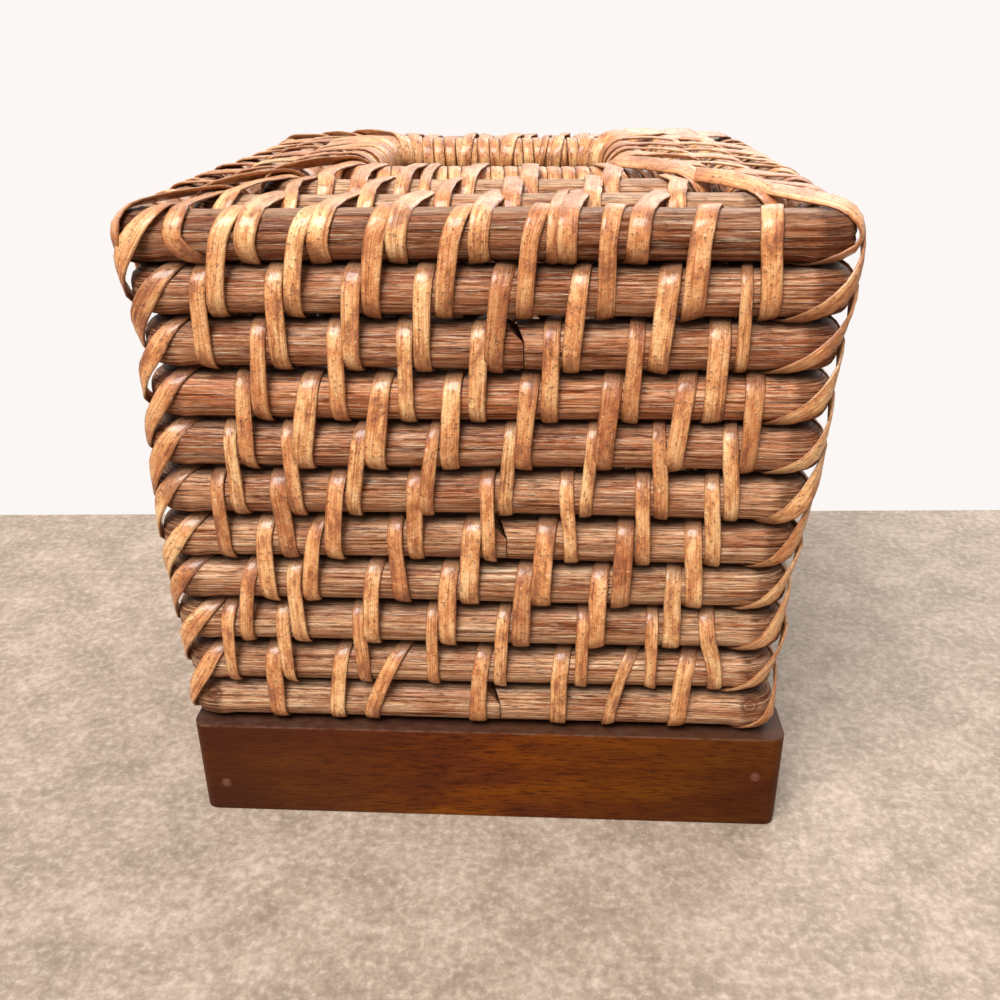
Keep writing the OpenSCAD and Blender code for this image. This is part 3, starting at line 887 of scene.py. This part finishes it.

# %% [markdown]
# Split cane is the skin of the same plant. It is smooth and glassy, honey to straw coloured, with fine
# lines lengthwise, brown specks where the plant had small scars, and darker, browner ends where the strip
# bends under a rod: stain and dust, and painted shade, nearly black where the strip is hidden. Its edges are
# cut and drink up more stain.

# %% Split cane material
def split_cane(name="split_cane_skin_lacquered"):
    # Cane skin: hard silica surface, so a clear broad highlight on the rounded face
    material, tree = new_material(name)
    cane = add(tree, "Attribute", attribute_name="cane").outputs["Vector"]
    tone = add(tree, "Attribute", attribute_name="tone").outputs["Fac"]
    ends = add(tree, "Attribute", attribute_name="ends").outputs["Fac"]

    def pattern(scale, detail, roughness):
        """Noise with this many spots per millimetre along the strip, and per width across it."""
        place = add(tree, "Mapping", {"Vector": cane, "Scale": scale})
        return add(tree, "TexNoise", {"Vector": place, "Scale": 1.0, "Detail": detail, "Roughness": roughness})

    # Lengthwise lines, 0.4 mm apart across the strip and 20 mm long
    line = pattern((1 / 20, 9, 3.7), 4, 0.6)
    # Cloudy stains 7 mm long
    stain = pattern((1 / 7, 1.3, 5.1), 5, 0.65)
    # Scar specks, really about 0.4 mm, drawn up to 0.9 mm so that they show
    speck = pattern((1 / 0.9, 4.5, 9.3), 2, 0.6)

    straws = [(0.0, "#c4895a"), (0.15, "#dda571"), (0.45, "#e9b37e"), (0.75, "#f1c08b"), (1.0, "#f6cd99")]
    body = add(tree, "ValToRGB", {"Fac": tone}, stops=straws)
    lines = [(0.34, "#ae7c58"), (0.44, "#ead0b6"), (0.56, "#ffffff")]
    shade = add(tree, "ValToRGB", {"Fac": line}, stops=lines)
    body = add(tree, "MixRGB", {"Fac": 0.75, "Color1": body, "Color2": shade}, blend_type="MULTIPLY")
    stains = [(0.37, "#9c6239"), (0.47, "#e1ba92"), (0.58, "#fffcf4")]
    cloud = add(tree, "ValToRGB", {"Fac": stain}, stops=stains)
    body = add(tree, "MixRGB", {"Fac": 0.8, "Color1": body, "Color2": cloud}, blend_type="MULTIPLY")
    # Pale flecks where the hard skin has chipped
    fleck = add(tree, "MapRange", {"Value": speck, "From Min": 0.33, "From Max": 0.25, "To Max": 0.5})
    body = add(tree, "MixRGB", {"Fac": fleck, "Color1": body, "Color2": "#ffe9c8"})
    # Stain, dust and painted shade where the strip bends away between the rods, and painted shade, nearly
    # black, where it is hidden
    dirt_and_shade = add(tree, "Math", {0: ends, 1: stain}, operation="SUBTRACT")
    dirt_and_shade = add(tree, "MapRange", {"Value": dirt_and_shade, "From Min": -0.35, "From Max": 0.5, "To Max": 0.65})
    body = add(tree, "MixRGB", {"Fac": dirt_and_shade, "Color1": body, "Color2": "#8a5534"})
    hidden = add(tree, "MapRange", {"Value": ends, "From Min": 0.55, "From Max": 0.95, "To Max": 0.8})
    body = add(tree, "MixRGB", {"Fac": hidden, "Color1": body, "Color2": "#4f2914"})
    dot = add(tree, "MapRange", {"Value": speck, "From Min": 0.59, "From Max": 0.68, "To Max": 0.6})
    body = add(tree, "MixRGB", {"Fac": dot, "Color1": body, "Color2": "#683a1e"})
    # The cut edges are rough and have taken more stain
    across = add(tree, "SeparateXYZ", {"Vector": cane}).outputs["Y"]
    edge = add(tree, "Math", {0: across}, operation="ABSOLUTE")
    edge = add(tree, "MapRange", {"Value": edge, "From Min": 0.38, "From Max": 0.5, "To Max": 0.65})
    body = add(tree, "MixRGB", {"Fac": edge, "Color1": body, "Color2": "#7d4c2b"})
    # Dust has dulled what faces upwards
    normal = add(tree, "NewGeometry").outputs["Normal"]
    upwards = {
        "Value": add(tree, "SeparateXYZ", {"Vector": normal}).outputs["Z"],
        "From Min": 0.75, "From Max": 0.97,
    }
    dusty = add(tree, "MapRange", {**upwards, "To Max": 0.5})
    body = add(tree, "MixRGB", {"Fac": dusty, "Color1": body, "Color2": "#b88d6e"})
    coat = add(tree, "MapRange", {**upwards, "To Min": 0.42, "To Max": 0.08})

    height = add(tree, "Math", {0: line, 1: stain}, operation="ADD")
    height = add(tree, "Math", {0: height, 1: speck}, operation="ADD")
    height = add(tree, "Math", {0: height, 1: dot}, operation="SUBTRACT")
    relief = add(tree, "Bump", {"Height": height, "Strength": 0.7, "Distance": 0.0005})
    dull_range = {"From Min": 0.3, "From Max": 0.7, "To Min": 0.48, "To Max": 0.28}
    dull = add(tree, "MapRange", {"Value": stain, **dull_range})
    finish_material(tree, {
        "Base Color": body, "Roughness": dull, "Normal": relief, "IOR": 1.5,
        "Specular IOR Level": 0.4, "Coat Weight": coat, "Coat Roughness": 0.2,
    })
    return material


cane_material = split_cane()
print("made", cane_material.name)

# %% [markdown]
# Now every row is wound. Its random changes are softened along the strip, because real cane changes
# slowly in width and lies now a little more on one edge, now on the other. How deep each ring lies
# between the rods is kept as the attribute ends, for the dirt and the painted shade there.

# %% Wind all rows
for k in sorted(front_turns):
    centre, up, rows, sizes = row_path(k)
    count = len(centre)
    # How deep a ring lies between the rods: 0 in the open, 1 where the strip is hidden
    turned, kind = rows["angle"], rows["kind"]
    back = np.clip(np.sin(np.where(kind == 0, -turned, turned)), 0, 1)
    between = np.where(np.where(kind == 0, turned < 0, turned > 0), 1, np.cos(turned))
    # The top course lies open above, and so do the flat hoops
    depth = np.where(kind == 0, back if k <= 1 else between, back if k < 1 else between)
    ends = soften(np.where(kind == 1, 0, np.where(kind == 3, 1, depth)), 1)
    width = soften(rows["width"] + soften(random_strip.normal(0, 0.5, count), 8), 2)
    tone = soften(rows["tone"], 3)
    seed = rows["seed"] * 1.7 + 40 * k
    roll = soften(random_strip.normal(0, 0.35, count), 14) + rows["twist"]
    node_name = f"side_lashing_{k}" if k >= 1 else f"flat_lashing_{1 - k}"
    looks = (tone, seed, roll, ends)
    piece = sweep_strip(f"cane_{node_name}", centre, up, width, strip_thickness, *looks, sizes)
    piece.data.materials.append(cane_material)
    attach(piece, "root")
    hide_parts(node_name)
    print(piece.name, count, "rings")

# %% [markdown]
# The rim of the opening is wound close with one strip, turn beside turn, so that no rod shows. It is
# the same sweep on a simple spiral. In the rounded corners the turns are squeezed together on the
# inside, so the strip is drawn narrower there, as if its edge slid under its neighbour.

# %% Wrapping of the rim
wrap_turns = 80
wrap_rings = 18
wrap_thickness = 0.55
# Share of a turn's room that the strip fills, with thin dark gaps left between the turns
wrap_fill = 0.97
rim = hoops[-2]
rim_straight = rim.half_x - rim.bend
rim_length = 8 * rim_straight + 2 * math.pi * rim.bend
wrap_place = np.arange(wrap_turns * wrap_rings) / (wrap_turns * wrap_rings)
side_share = rim_length / 4
travelled = wrap_place * rim_length
side_index = np.floor((travelled + side_share / 2) / side_share).astype(int)
x = travelled - side_index * side_share
angle = np.clip(abs(x) - rim_straight, 0, None) / rim.bend * np.sign(x)
px = np.clip(x, -rim_straight, rim_straight) + rim.bend * np.sin(angle)
py = -(rim.half_y - rim.bend) - rim.bend * np.cos(angle)
px, py = turn_to_side(px, py, side_index % 4)
ox, oy = turn_to_side(np.sin(angle), -np.cos(angle), side_index % 4)
swing, rise = wave(-2, px, py)
round_angle = -2 * math.pi * wrap_place * wrap_turns
up = np.stack([ox * np.cos(round_angle), oy * np.cos(round_angle), np.sin(round_angle)], axis=1)
centre = np.stack([px + ox * swing + rim.shift, py + oy * swing, rim.z + rise], axis=1)
centre = centre + up * (rod_radius + strip_clearance)
inner_room = np.clip(1 + (rod_radius + 0.3) * np.cos(round_angle) / rim.bend, 0.5, 1.25)
squeeze = np.where(abs(angle) > 0, inner_room, 1)
turn_number = np.floor(wrap_place * wrap_turns)
wrap_tones = random_strip.uniform(0.1, 1, wrap_turns)
tone = soften(wrap_tones[turn_number.astype(int)], 2)
width = rim_length / wrap_turns * wrap_fill * soften(squeeze, 3)
width = width * (1 + soften(random_strip.normal(0, 0.12, len(px)), 12))
looks = (tone, turn_number * 2.3, 0 * width, 0 * width)
piece = sweep_strip("cane_rim_wrap", centre, up, width, wrap_thickness, *looks)
piece.data.materials.append(cane_material)
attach(piece, "root")
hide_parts("rim_wrap")
print("rim strip turns:", wrap_turns, "width", round(float(rim_length / wrap_turns), 2), "mm")

# %% [markdown]
# The base is a frame of four rails of stained hardwood. On the real one the corners were rounded after
# the frame was put together, so it is made that way here too: a block is rounded first with the bevel
# operator, its upright corners a little and the lower ends of its front and back faces more.

# %% Base block
front_low, front_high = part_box("base_rail_front")
left_low, left_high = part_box("base_rail_left")
base_height = front_high.z / mm
base_half = front_high.x / mm
rail_depth = (front_high.y - front_low.y) / mm
side_end = left_high.y / mm
foot_round = 4.5
corner_round = 3


def along_axis(piece, axis, wanted):
    """Selects the edges along one axis (0, 1 or 2) whose middle satisfies a rule."""
    mode("EDIT")
    bpy.ops.mesh.select_mode(type="EDGE")
    bpy.ops.mesh.select_all(action="DESELECT")
    mode("OBJECT")
    points = points_of(piece)
    for edge in piece.data.edges:
        a, b = (points[v] for v in edge.vertices)
        run = abs(a - b)
        edge.select = bool(run[axis] > 0.98 * np.linalg.norm(run) and wanted(*((a + b) / 2)))
    mode("EDIT")


deselect_everything()
bpy.ops.mesh.primitive_cube_add(size=1, location=(0, 0, base_height / 2 * mm))
block = bpy.context.object
bpy.ops.transform.resize(value=(2 * base_half * mm, 2 * base_half * mm, base_height * mm))
bpy.ops.object.transform_apply(location=True, rotation=True, scale=True)
along_axis(block, 2, lambda x, y, z: True)
bpy.ops.mesh.bevel(offset=corner_round * mm, segments=5, affect="EDGES")
mode("OBJECT")
along_axis(block, 1, lambda x, y, z: z < 0.1 and abs(x) > base_half - 0.1)
bpy.ops.mesh.bevel(offset=foot_round * mm, segments=6, affect="EDGES")
mode("OBJECT")
print("block faces:", len(block.data.polygons))

# %% [markdown]
# The rails are sawn out of copies of the block with bisect, as long front and back rails with the
# short side rails between them. Each cut has a place and the direction of what falls off, and it
# fills the sawn face. A last small bevel breaks the sharp edges.

# %% Saw the rails out of the block
inner = base_half - rail_depth
side_cuts = [((0, -side_end, 0), (0, -1, 0)), ((0, side_end, 0), (0, 1, 0))]
rail_cuts = {
    "base_rail_front": [((0, -inner, 0), (0, 1, 0))],
    "base_rail_back": [((0, inner, 0), (0, -1, 0))],
    "base_rail_left": [((-inner, 0, 0), (1, 0, 0)), *side_cuts],
    "base_rail_right": [((inner, 0, 0), (-1, 0, 0)), *side_cuts],
}
rails = {}
for name, cuts in rail_cuts.items():
    piece = new_object(f"wood_{name}", block.data.copy())
    piece.data.name = piece.name
    make_active(piece)
    mode("EDIT")
    for place, away in cuts:
        place = tuple(v * mm for v in place)
        bpy.ops.mesh.select_all(action="SELECT")
        bpy.ops.mesh.bisect(plane_co=place, plane_no=away, use_fill=True, clear_outer=True)
    turn_normals_outwards()
    edge_break = piece.modifiers.new("edge_break", "BEVEL")
    edge_break.width = 0.55 * mm
    edge_break.segments = 3
    edge_break.limit_method = "ANGLE"
    edge_break.angle_limit = math.radians(50)
    bpy.ops.object.modifier_apply(modifier=edge_break.name)
    bpy.ops.object.shade_smooth_by_angle(angle=math.radians(35))
    rails[name] = piece
    print(piece.name, len(piece.data.polygons), "faces")
bpy.data.objects.remove(block)

# %% [markdown]
# The rails are a close-grained reddish hardwood with a dark mahogany stain and a satin varnish. The
# grain runs along each rail, so every rail carries its own grain attribute with the long direction
# first. Wear shows as a pale line along the top edge, dust lies on the ledge, and the stain is darker
# towards the corners. The frame is also a little narrower than drawn and sits off the middle.

# %% Stained wood material
def stained_wood(name="mahogany_stained_hardwood_satin"):
    # Stained hardwood: darker streaks where the pores took more stain, soft satin shine
    material, tree = new_material(name)
    grain = add(tree, "Attribute", attribute_name="grain").outputs["Vector"]
    place = add(tree, "TexCoord").outputs["Object"]
    xyz = add(tree, "SeparateXYZ", {"Vector": place}).outputs

    def figure(scale, detail, roughness, distortion=0.0):
        """Noise with this many spots per millimetre along, across and through the rail."""
        place = add(tree, "Mapping", {"Vector": grain, "Scale": scale})
        settings = {"Vector": place, "Scale": 1.0, "Detail": detail, "Roughness": roughness}
        return add(tree, "TexNoise", {**settings, "Distortion": distortion})

    # Broad cloudy bands where the stain took differently
    band = figure((1 / 45, 1 / 14, 1 / 12), 3, 0.5, distortion=0.4)
    # Pores, really 0.2 mm wide, drawn up to 0.6 mm wide and 4.5 mm long so that they show
    pore = figure((1 / 4.5, 1 / 0.6, 1 / 0.5), 3, 0.7)
    # Dings and rubbed spots, a few millimetres apart
    spot = figure((1 / 4, 1 / 2.2, 1 / 2.2), 4, 0.75)

    browns = [(0.34, "#5a270a"), (0.45, "#6c3305"), (0.56, "#7d4004"), (0.68, "#8c4e06")]
    body = add(tree, "ValToRGB", {"Fac": band}, stops=browns)
    pores = [(0.36, "#7c5a48"), (0.46, "#dccfc6"), (0.56, "#ffffff")]
    dark = add(tree, "ValToRGB", {"Fac": pore}, stops=pores)
    body = add(tree, "MixRGB", {"Fac": 0.75, "Color1": body, "Color2": dark}, blend_type="MULTIPLY")
    rubbed = add(tree, "MapRange", {"Value": spot, "From Min": 0.68, "From Max": 0.76, "To Max": 0.5})
    body = add(tree, "MixRGB", {"Fac": rubbed, "Color1": body, "Color2": "#9a6a48"})
    # The stain is darker towards the corners, where end grain drank more of it
    corner = add(tree, "VectorMath", {0: place}, operation="ABSOLUTE")
    corner = add(tree, "SeparateXYZ", {"Vector": corner}).outputs
    corner = add(tree, "Math", {0: corner["X"], 1: corner["Y"]}, operation="MINIMUM")
    corner = add(tree, "MapRange", {"Value": corner, "From Min": 0.004, "From Max": 0.062, "To Max": 0.72})
    body = add(tree, "MixRGB", {"Fac": corner, "Color1": body, "Color2": "#391506"})
    # Years of light have bleached the middle of the front more than its left part
    left = add(tree, "MapRange", {"Value": xyz["X"], "From Min": -0.012, "From Max": -0.034, "To Max": 0.42})
    body = add(tree, "MixRGB", {"Fac": left, "Color1": body, "Color2": "#3f1d10"})
    # Worn line along the top edge and grey dust on the ledge above it
    high = add(tree, "Math", {0: xyz["Z"], 1: 1000.0}, operation="MULTIPLY")
    worn_range = {"From Min": base_height - 0.75, "From Max": base_height - 0.2}
    worn = add(tree, "MapRange", {"Value": high, **worn_range})
    patchy_range = {"From Min": 0.42, "From Max": 0.6, "To Min": 0.1, "To Max": 0.7}
    patchy = add(tree, "MapRange", {"Value": spot, **patchy_range})
    worn = add(tree, "Math", {0: worn, 1: patchy}, operation="MULTIPLY")
    body = add(tree, "MixRGB", {"Fac": worn, "Color1": body, "Color2": "#7a5642"})
    ledge_range = {"From Min": base_height - 0.12, "From Max": base_height - 0.02, "To Max": 0.75}
    dusty = add(tree, "MapRange", {"Value": high, **ledge_range})
    body = add(tree, "MixRGB", {"Fac": dusty, "Color1": body, "Color2": "#37221a"})

    relief = add(tree, "Bump", {"Height": pore, "Strength": 0.35, "Distance": 0.0003})
    dull_range = {"From Min": 0.3, "From Max": 0.7, "To Min": 0.42, "To Max": 0.56}
    dull = add(tree, "MapRange", {"Value": spot, **dull_range})
    finish_material(tree, {
        "Base Color": body, "Roughness": dull, "Normal": relief, "IOR": 1.5, "Specular IOR Level": 0.1,
    })
    return material


wood_material = stained_wood()
base_trim = 0.9
base_shift = 0.6
for number, (name, piece) in enumerate(rails.items()):
    p = points_of(piece)
    p[:, 0] = p[:, 0] * (1 - base_trim / base_half) + base_shift
    put_points(piece, p)
    long_first = p if name in ("base_rail_front", "base_rail_back") else p[:, [1, 0, 2]]
    keep_attribute(piece, "grain", "FLOAT_VECTOR", long_first + np.array([300 * number, 40 * number, 0]))
    piece.data.materials.clear()
    piece.data.materials.append(wood_material)
    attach(piece, "root")
    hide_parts(name)
print("made", wood_material.name)

# %% [markdown]
# Steel nails hold the base and the lowest hoop. They are bought parts whose CAD shape is already
# right, so they stay as they are and only get a material. The filler over their heads is a paste, so
# its colour is a fine grit and not a grain.

# %% Nails and fillers
def wire_nail_steel(name="bright_wire_nail_steel"):
    # Drawn steel wire, bare: fine marks that break up the shine
    material, tree = new_material(name)
    place = add(tree, "TexCoord").outputs["Object"]
    marks = add(tree, "TexNoise", {"Vector": place, "Scale": 900.0, "Detail": 2.0})
    dull = add(tree, "MapRange", {"Value": marks, "To Min": 0.3, "To Max": 0.5})
    body = add(tree, "ValToRGB", {"Fac": marks}, stops=[(0.3, "#7f7c78"), (0.7, "#a5a29d")])
    finish_material(tree, {"Base Color": body, "Metallic": 1.0, "Roughness": dull})
    return material


def wood_filler(name="brown_wood_filler_matt"):
    # Filler paste: matt and a little lighter and redder than the wood round it
    material, tree = new_material(name)
    place = add(tree, "TexCoord").outputs["Object"]
    grit = add(tree, "TexNoise", {"Vector": place, "Scale": 2200.0, "Detail": 3.0})
    body = add(tree, "ValToRGB", {"Fac": grit}, stops=[(0.3, "#57291a"), (0.7, "#6f3c28")])
    relief = add(tree, "Bump", {"Height": grit, "Strength": 0.4, "Distance": 0.0002})
    finish_material(tree, {"Base Color": body, "Roughness": 0.6, "Normal": relief})
    return material


steel_material, filler_material = wire_nail_steel(), wood_filler()
for name in ("base_nails", "hoop_nails"):
    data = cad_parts[name].data
    data.materials.clear()
    data.materials.append(steel_material)
print("made", steel_material.name, filler_material.name)

# %% [markdown]
# Over each base nail sits a small plug of filler, smoothed by hand, with a fine ring where it has
# shrunk away from the wood. It is a cylinder whose outer face is inset, pushed in for the ring, inset
# again and raised for the crown. One plug is modelled and four copies go over the nails.

# %% Filler plugs
plug_radius = 1.3
plug_depth = 1.2
# Widths of the insets and how far each is pushed in, from the plug's edge to its middle
plug_steps = ((0.12, 0.0), (0.12, 0.16), (0.1, -0.2), (0.35, -0.05), (0.3, -0.02))
# Middle of a plug behind the rail's face, and the plugs' places seen from outside
plug_middle = 0.55
nail_places = [(-67.5, 8.5), (67.5, 15.0)]

deselect_everything()
bpy.ops.mesh.primitive_cylinder_add(
    vertices=32, radius=plug_radius * mm, depth=plug_depth * mm, rotation=(math.pi / 2, 0, 0)
)
plug = bpy.context.object
bpy.ops.object.transform_apply(location=True, rotation=True, scale=True)
for face in plug.data.polygons:
    face.select = face.normal.y < -0.9
for edge in plug.data.edges:
    edge.select = False
mode("EDIT")
bpy.ops.mesh.select_mode(type="FACE")
for border, push in plug_steps:
    bpy.ops.mesh.inset(thickness=border * mm, depth=-push * mm)
mode("OBJECT")
bpy.ops.object.shade_smooth_by_angle(angle=math.radians(50))
plug_shape = points_of(plug)
made_plugs = []
for turned in (1, -1):
    for x, z in nail_places:
        copy = new_object("plug", plug.data.copy())
        p = plug_shape * np.array([1, turned, 1])
        p[:, 0] += turned * x * (1 - base_trim / base_half) + base_shift
        p[:, 1] += turned * (plug_middle - base_half)
        p[:, 2] += z
        put_points(copy, p)
        made_plugs.append(copy)
make_active(made_plugs[0])
for copy in made_plugs:
    copy.select_set(True)
bpy.ops.object.join()
plugs = bpy.context.object
plugs.name = "filler_plugs"
mode("EDIT")
turn_normals_outwards()
plugs.data.materials.clear()
plugs.data.materials.append(filler_material)
bpy.data.objects.remove(plug)
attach(plugs, "root")
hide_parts("nail_fillers")
print("plugs:", len(made_plugs), "CAD nodes kept: base_nails, hoop_nails")

# %% [markdown]
# The stage is a plain pale floor, and a white wall close behind the cover, as in the photograph. The
# wall is only a picture for the camera: it doesn't shade the cover and can't be seen from behind, so the
# back of the cover stays visible and lit. The floor is mottled stone with a fine grit.

# %% Floor and wall
deselect_everything()
bpy.ops.mesh.primitive_plane_add(size=6, location=(0, 0, -0.0002))
floor = bpy.context.object
floor.name = "stage_floor"
floor_material, tree = new_material("pale_stone_floor")
place = add(tree, "TexCoord").outputs["Object"]
mottle = add(tree, "TexNoise", {"Vector": place, "Scale": 60.0, "Detail": 9.0, "Roughness": 0.72})
stones = [(0.34, "#8b7a68"), (0.5, "#a08d7b"), (0.66, "#b4a08f")]
body = add(tree, "ValToRGB", {"Fac": mottle}, stops=stones)
grit = add(tree, "TexNoise", {"Vector": place, "Scale": 420.0, "Detail": 4.0, "Roughness": 0.75})
for limit, colour in ((0.7, "#6f5f50"), (0.3, "#d2c0ae")):
    amount = add(tree, "MapRange", {"Value": grit, "From Min": 0.5, "From Max": limit, "To Max": 0.55})
    body = add(tree, "MixRGB", {"Fac": amount, "Color1": body, "Color2": colour})
finish_material(tree, {"Base Color": body, "Roughness": 0.6})
floor.data.materials.append(floor_material)

wall_turn = math.radians(2.6)
bpy.ops.mesh.primitive_plane_add(size=1, location=(0, 0.1049, 0.75), rotation=(math.pi / 2, 0, wall_turn))
wall = bpy.context.object
wall.name = "stage_wall"
wall.scale = (6, 1.5, 1)
bpy.ops.object.transform_apply(location=False, rotation=False, scale=True)
for use in ("visible_diffuse", "visible_glossy", "visible_transmission", "visible_shadow"):
    setattr(wall, use, False)
wall_material, tree = new_material("white_wall")
paint = add(tree, "Emission", {"Color": "#fcf7f4", "Strength": 1.0})
behind = add(tree, "NewGeometry").outputs["Backfacing"]
chosen = add(tree, "MixShader", {0: behind, 1: paint, 2: add(tree, "BsdfTransparent")})
add(tree, "OutputMaterial", {"Surface": chosen})
wall.data.materials.append(wall_material)
print("stage: floor and wall")

# %% [markdown]
# The light is what a bright room gives: soft from all round, with one large window-like lamp above and
# in front and a weaker one behind. The world is white where the camera sees it, also in a reflection,
# and dimmer as a light.

# %% Lamps and world
world_light = 0.33
world = bpy.data.worlds.new("soft_room")
scene.world = world
world.use_nodes = True
tree = world.node_tree
tree.nodes.clear()
rays = add(tree, "LightPath").outputs
seen = rays["Is Camera Ray"]
for kind in ("Is Glossy Ray", "Is Transmission Ray"):
    seen = add(tree, "Math", {0: seen, 1: rays[kind]}, operation="MAXIMUM")
strength = add(tree, "MapRange", {"Value": seen, "To Min": world_light, "To Max": 1.0})
add(tree, "OutputWorld", {"Surface": add(tree, "Background", {"Color": "#ffffff", "Strength": strength})})


def soft_lamp(name, place, aim, size, power):
    data = bpy.data.lights.new(name, "AREA")
    data.shape = "SQUARE"
    data.size = size
    data.energy = power
    lamp = new_object(name, data)
    lamp.location = place
    lamp.rotation_euler = (Vector(aim) - Vector(place)).to_track_quat("-Z", "Y").to_euler()


middle_of_cover = (0, 0, 0.08)
soft_lamp("window_lamp", (-0.28, -0.64, 1.08), middle_of_cover, 0.6, 24)
soft_lamp("back_lamp", (0.4, 0.9, 0.9), middle_of_cover, 0.7, 8)
scene.view_settings.view_transform = "Standard"
print("lamps: window_lamp, back_lamp")
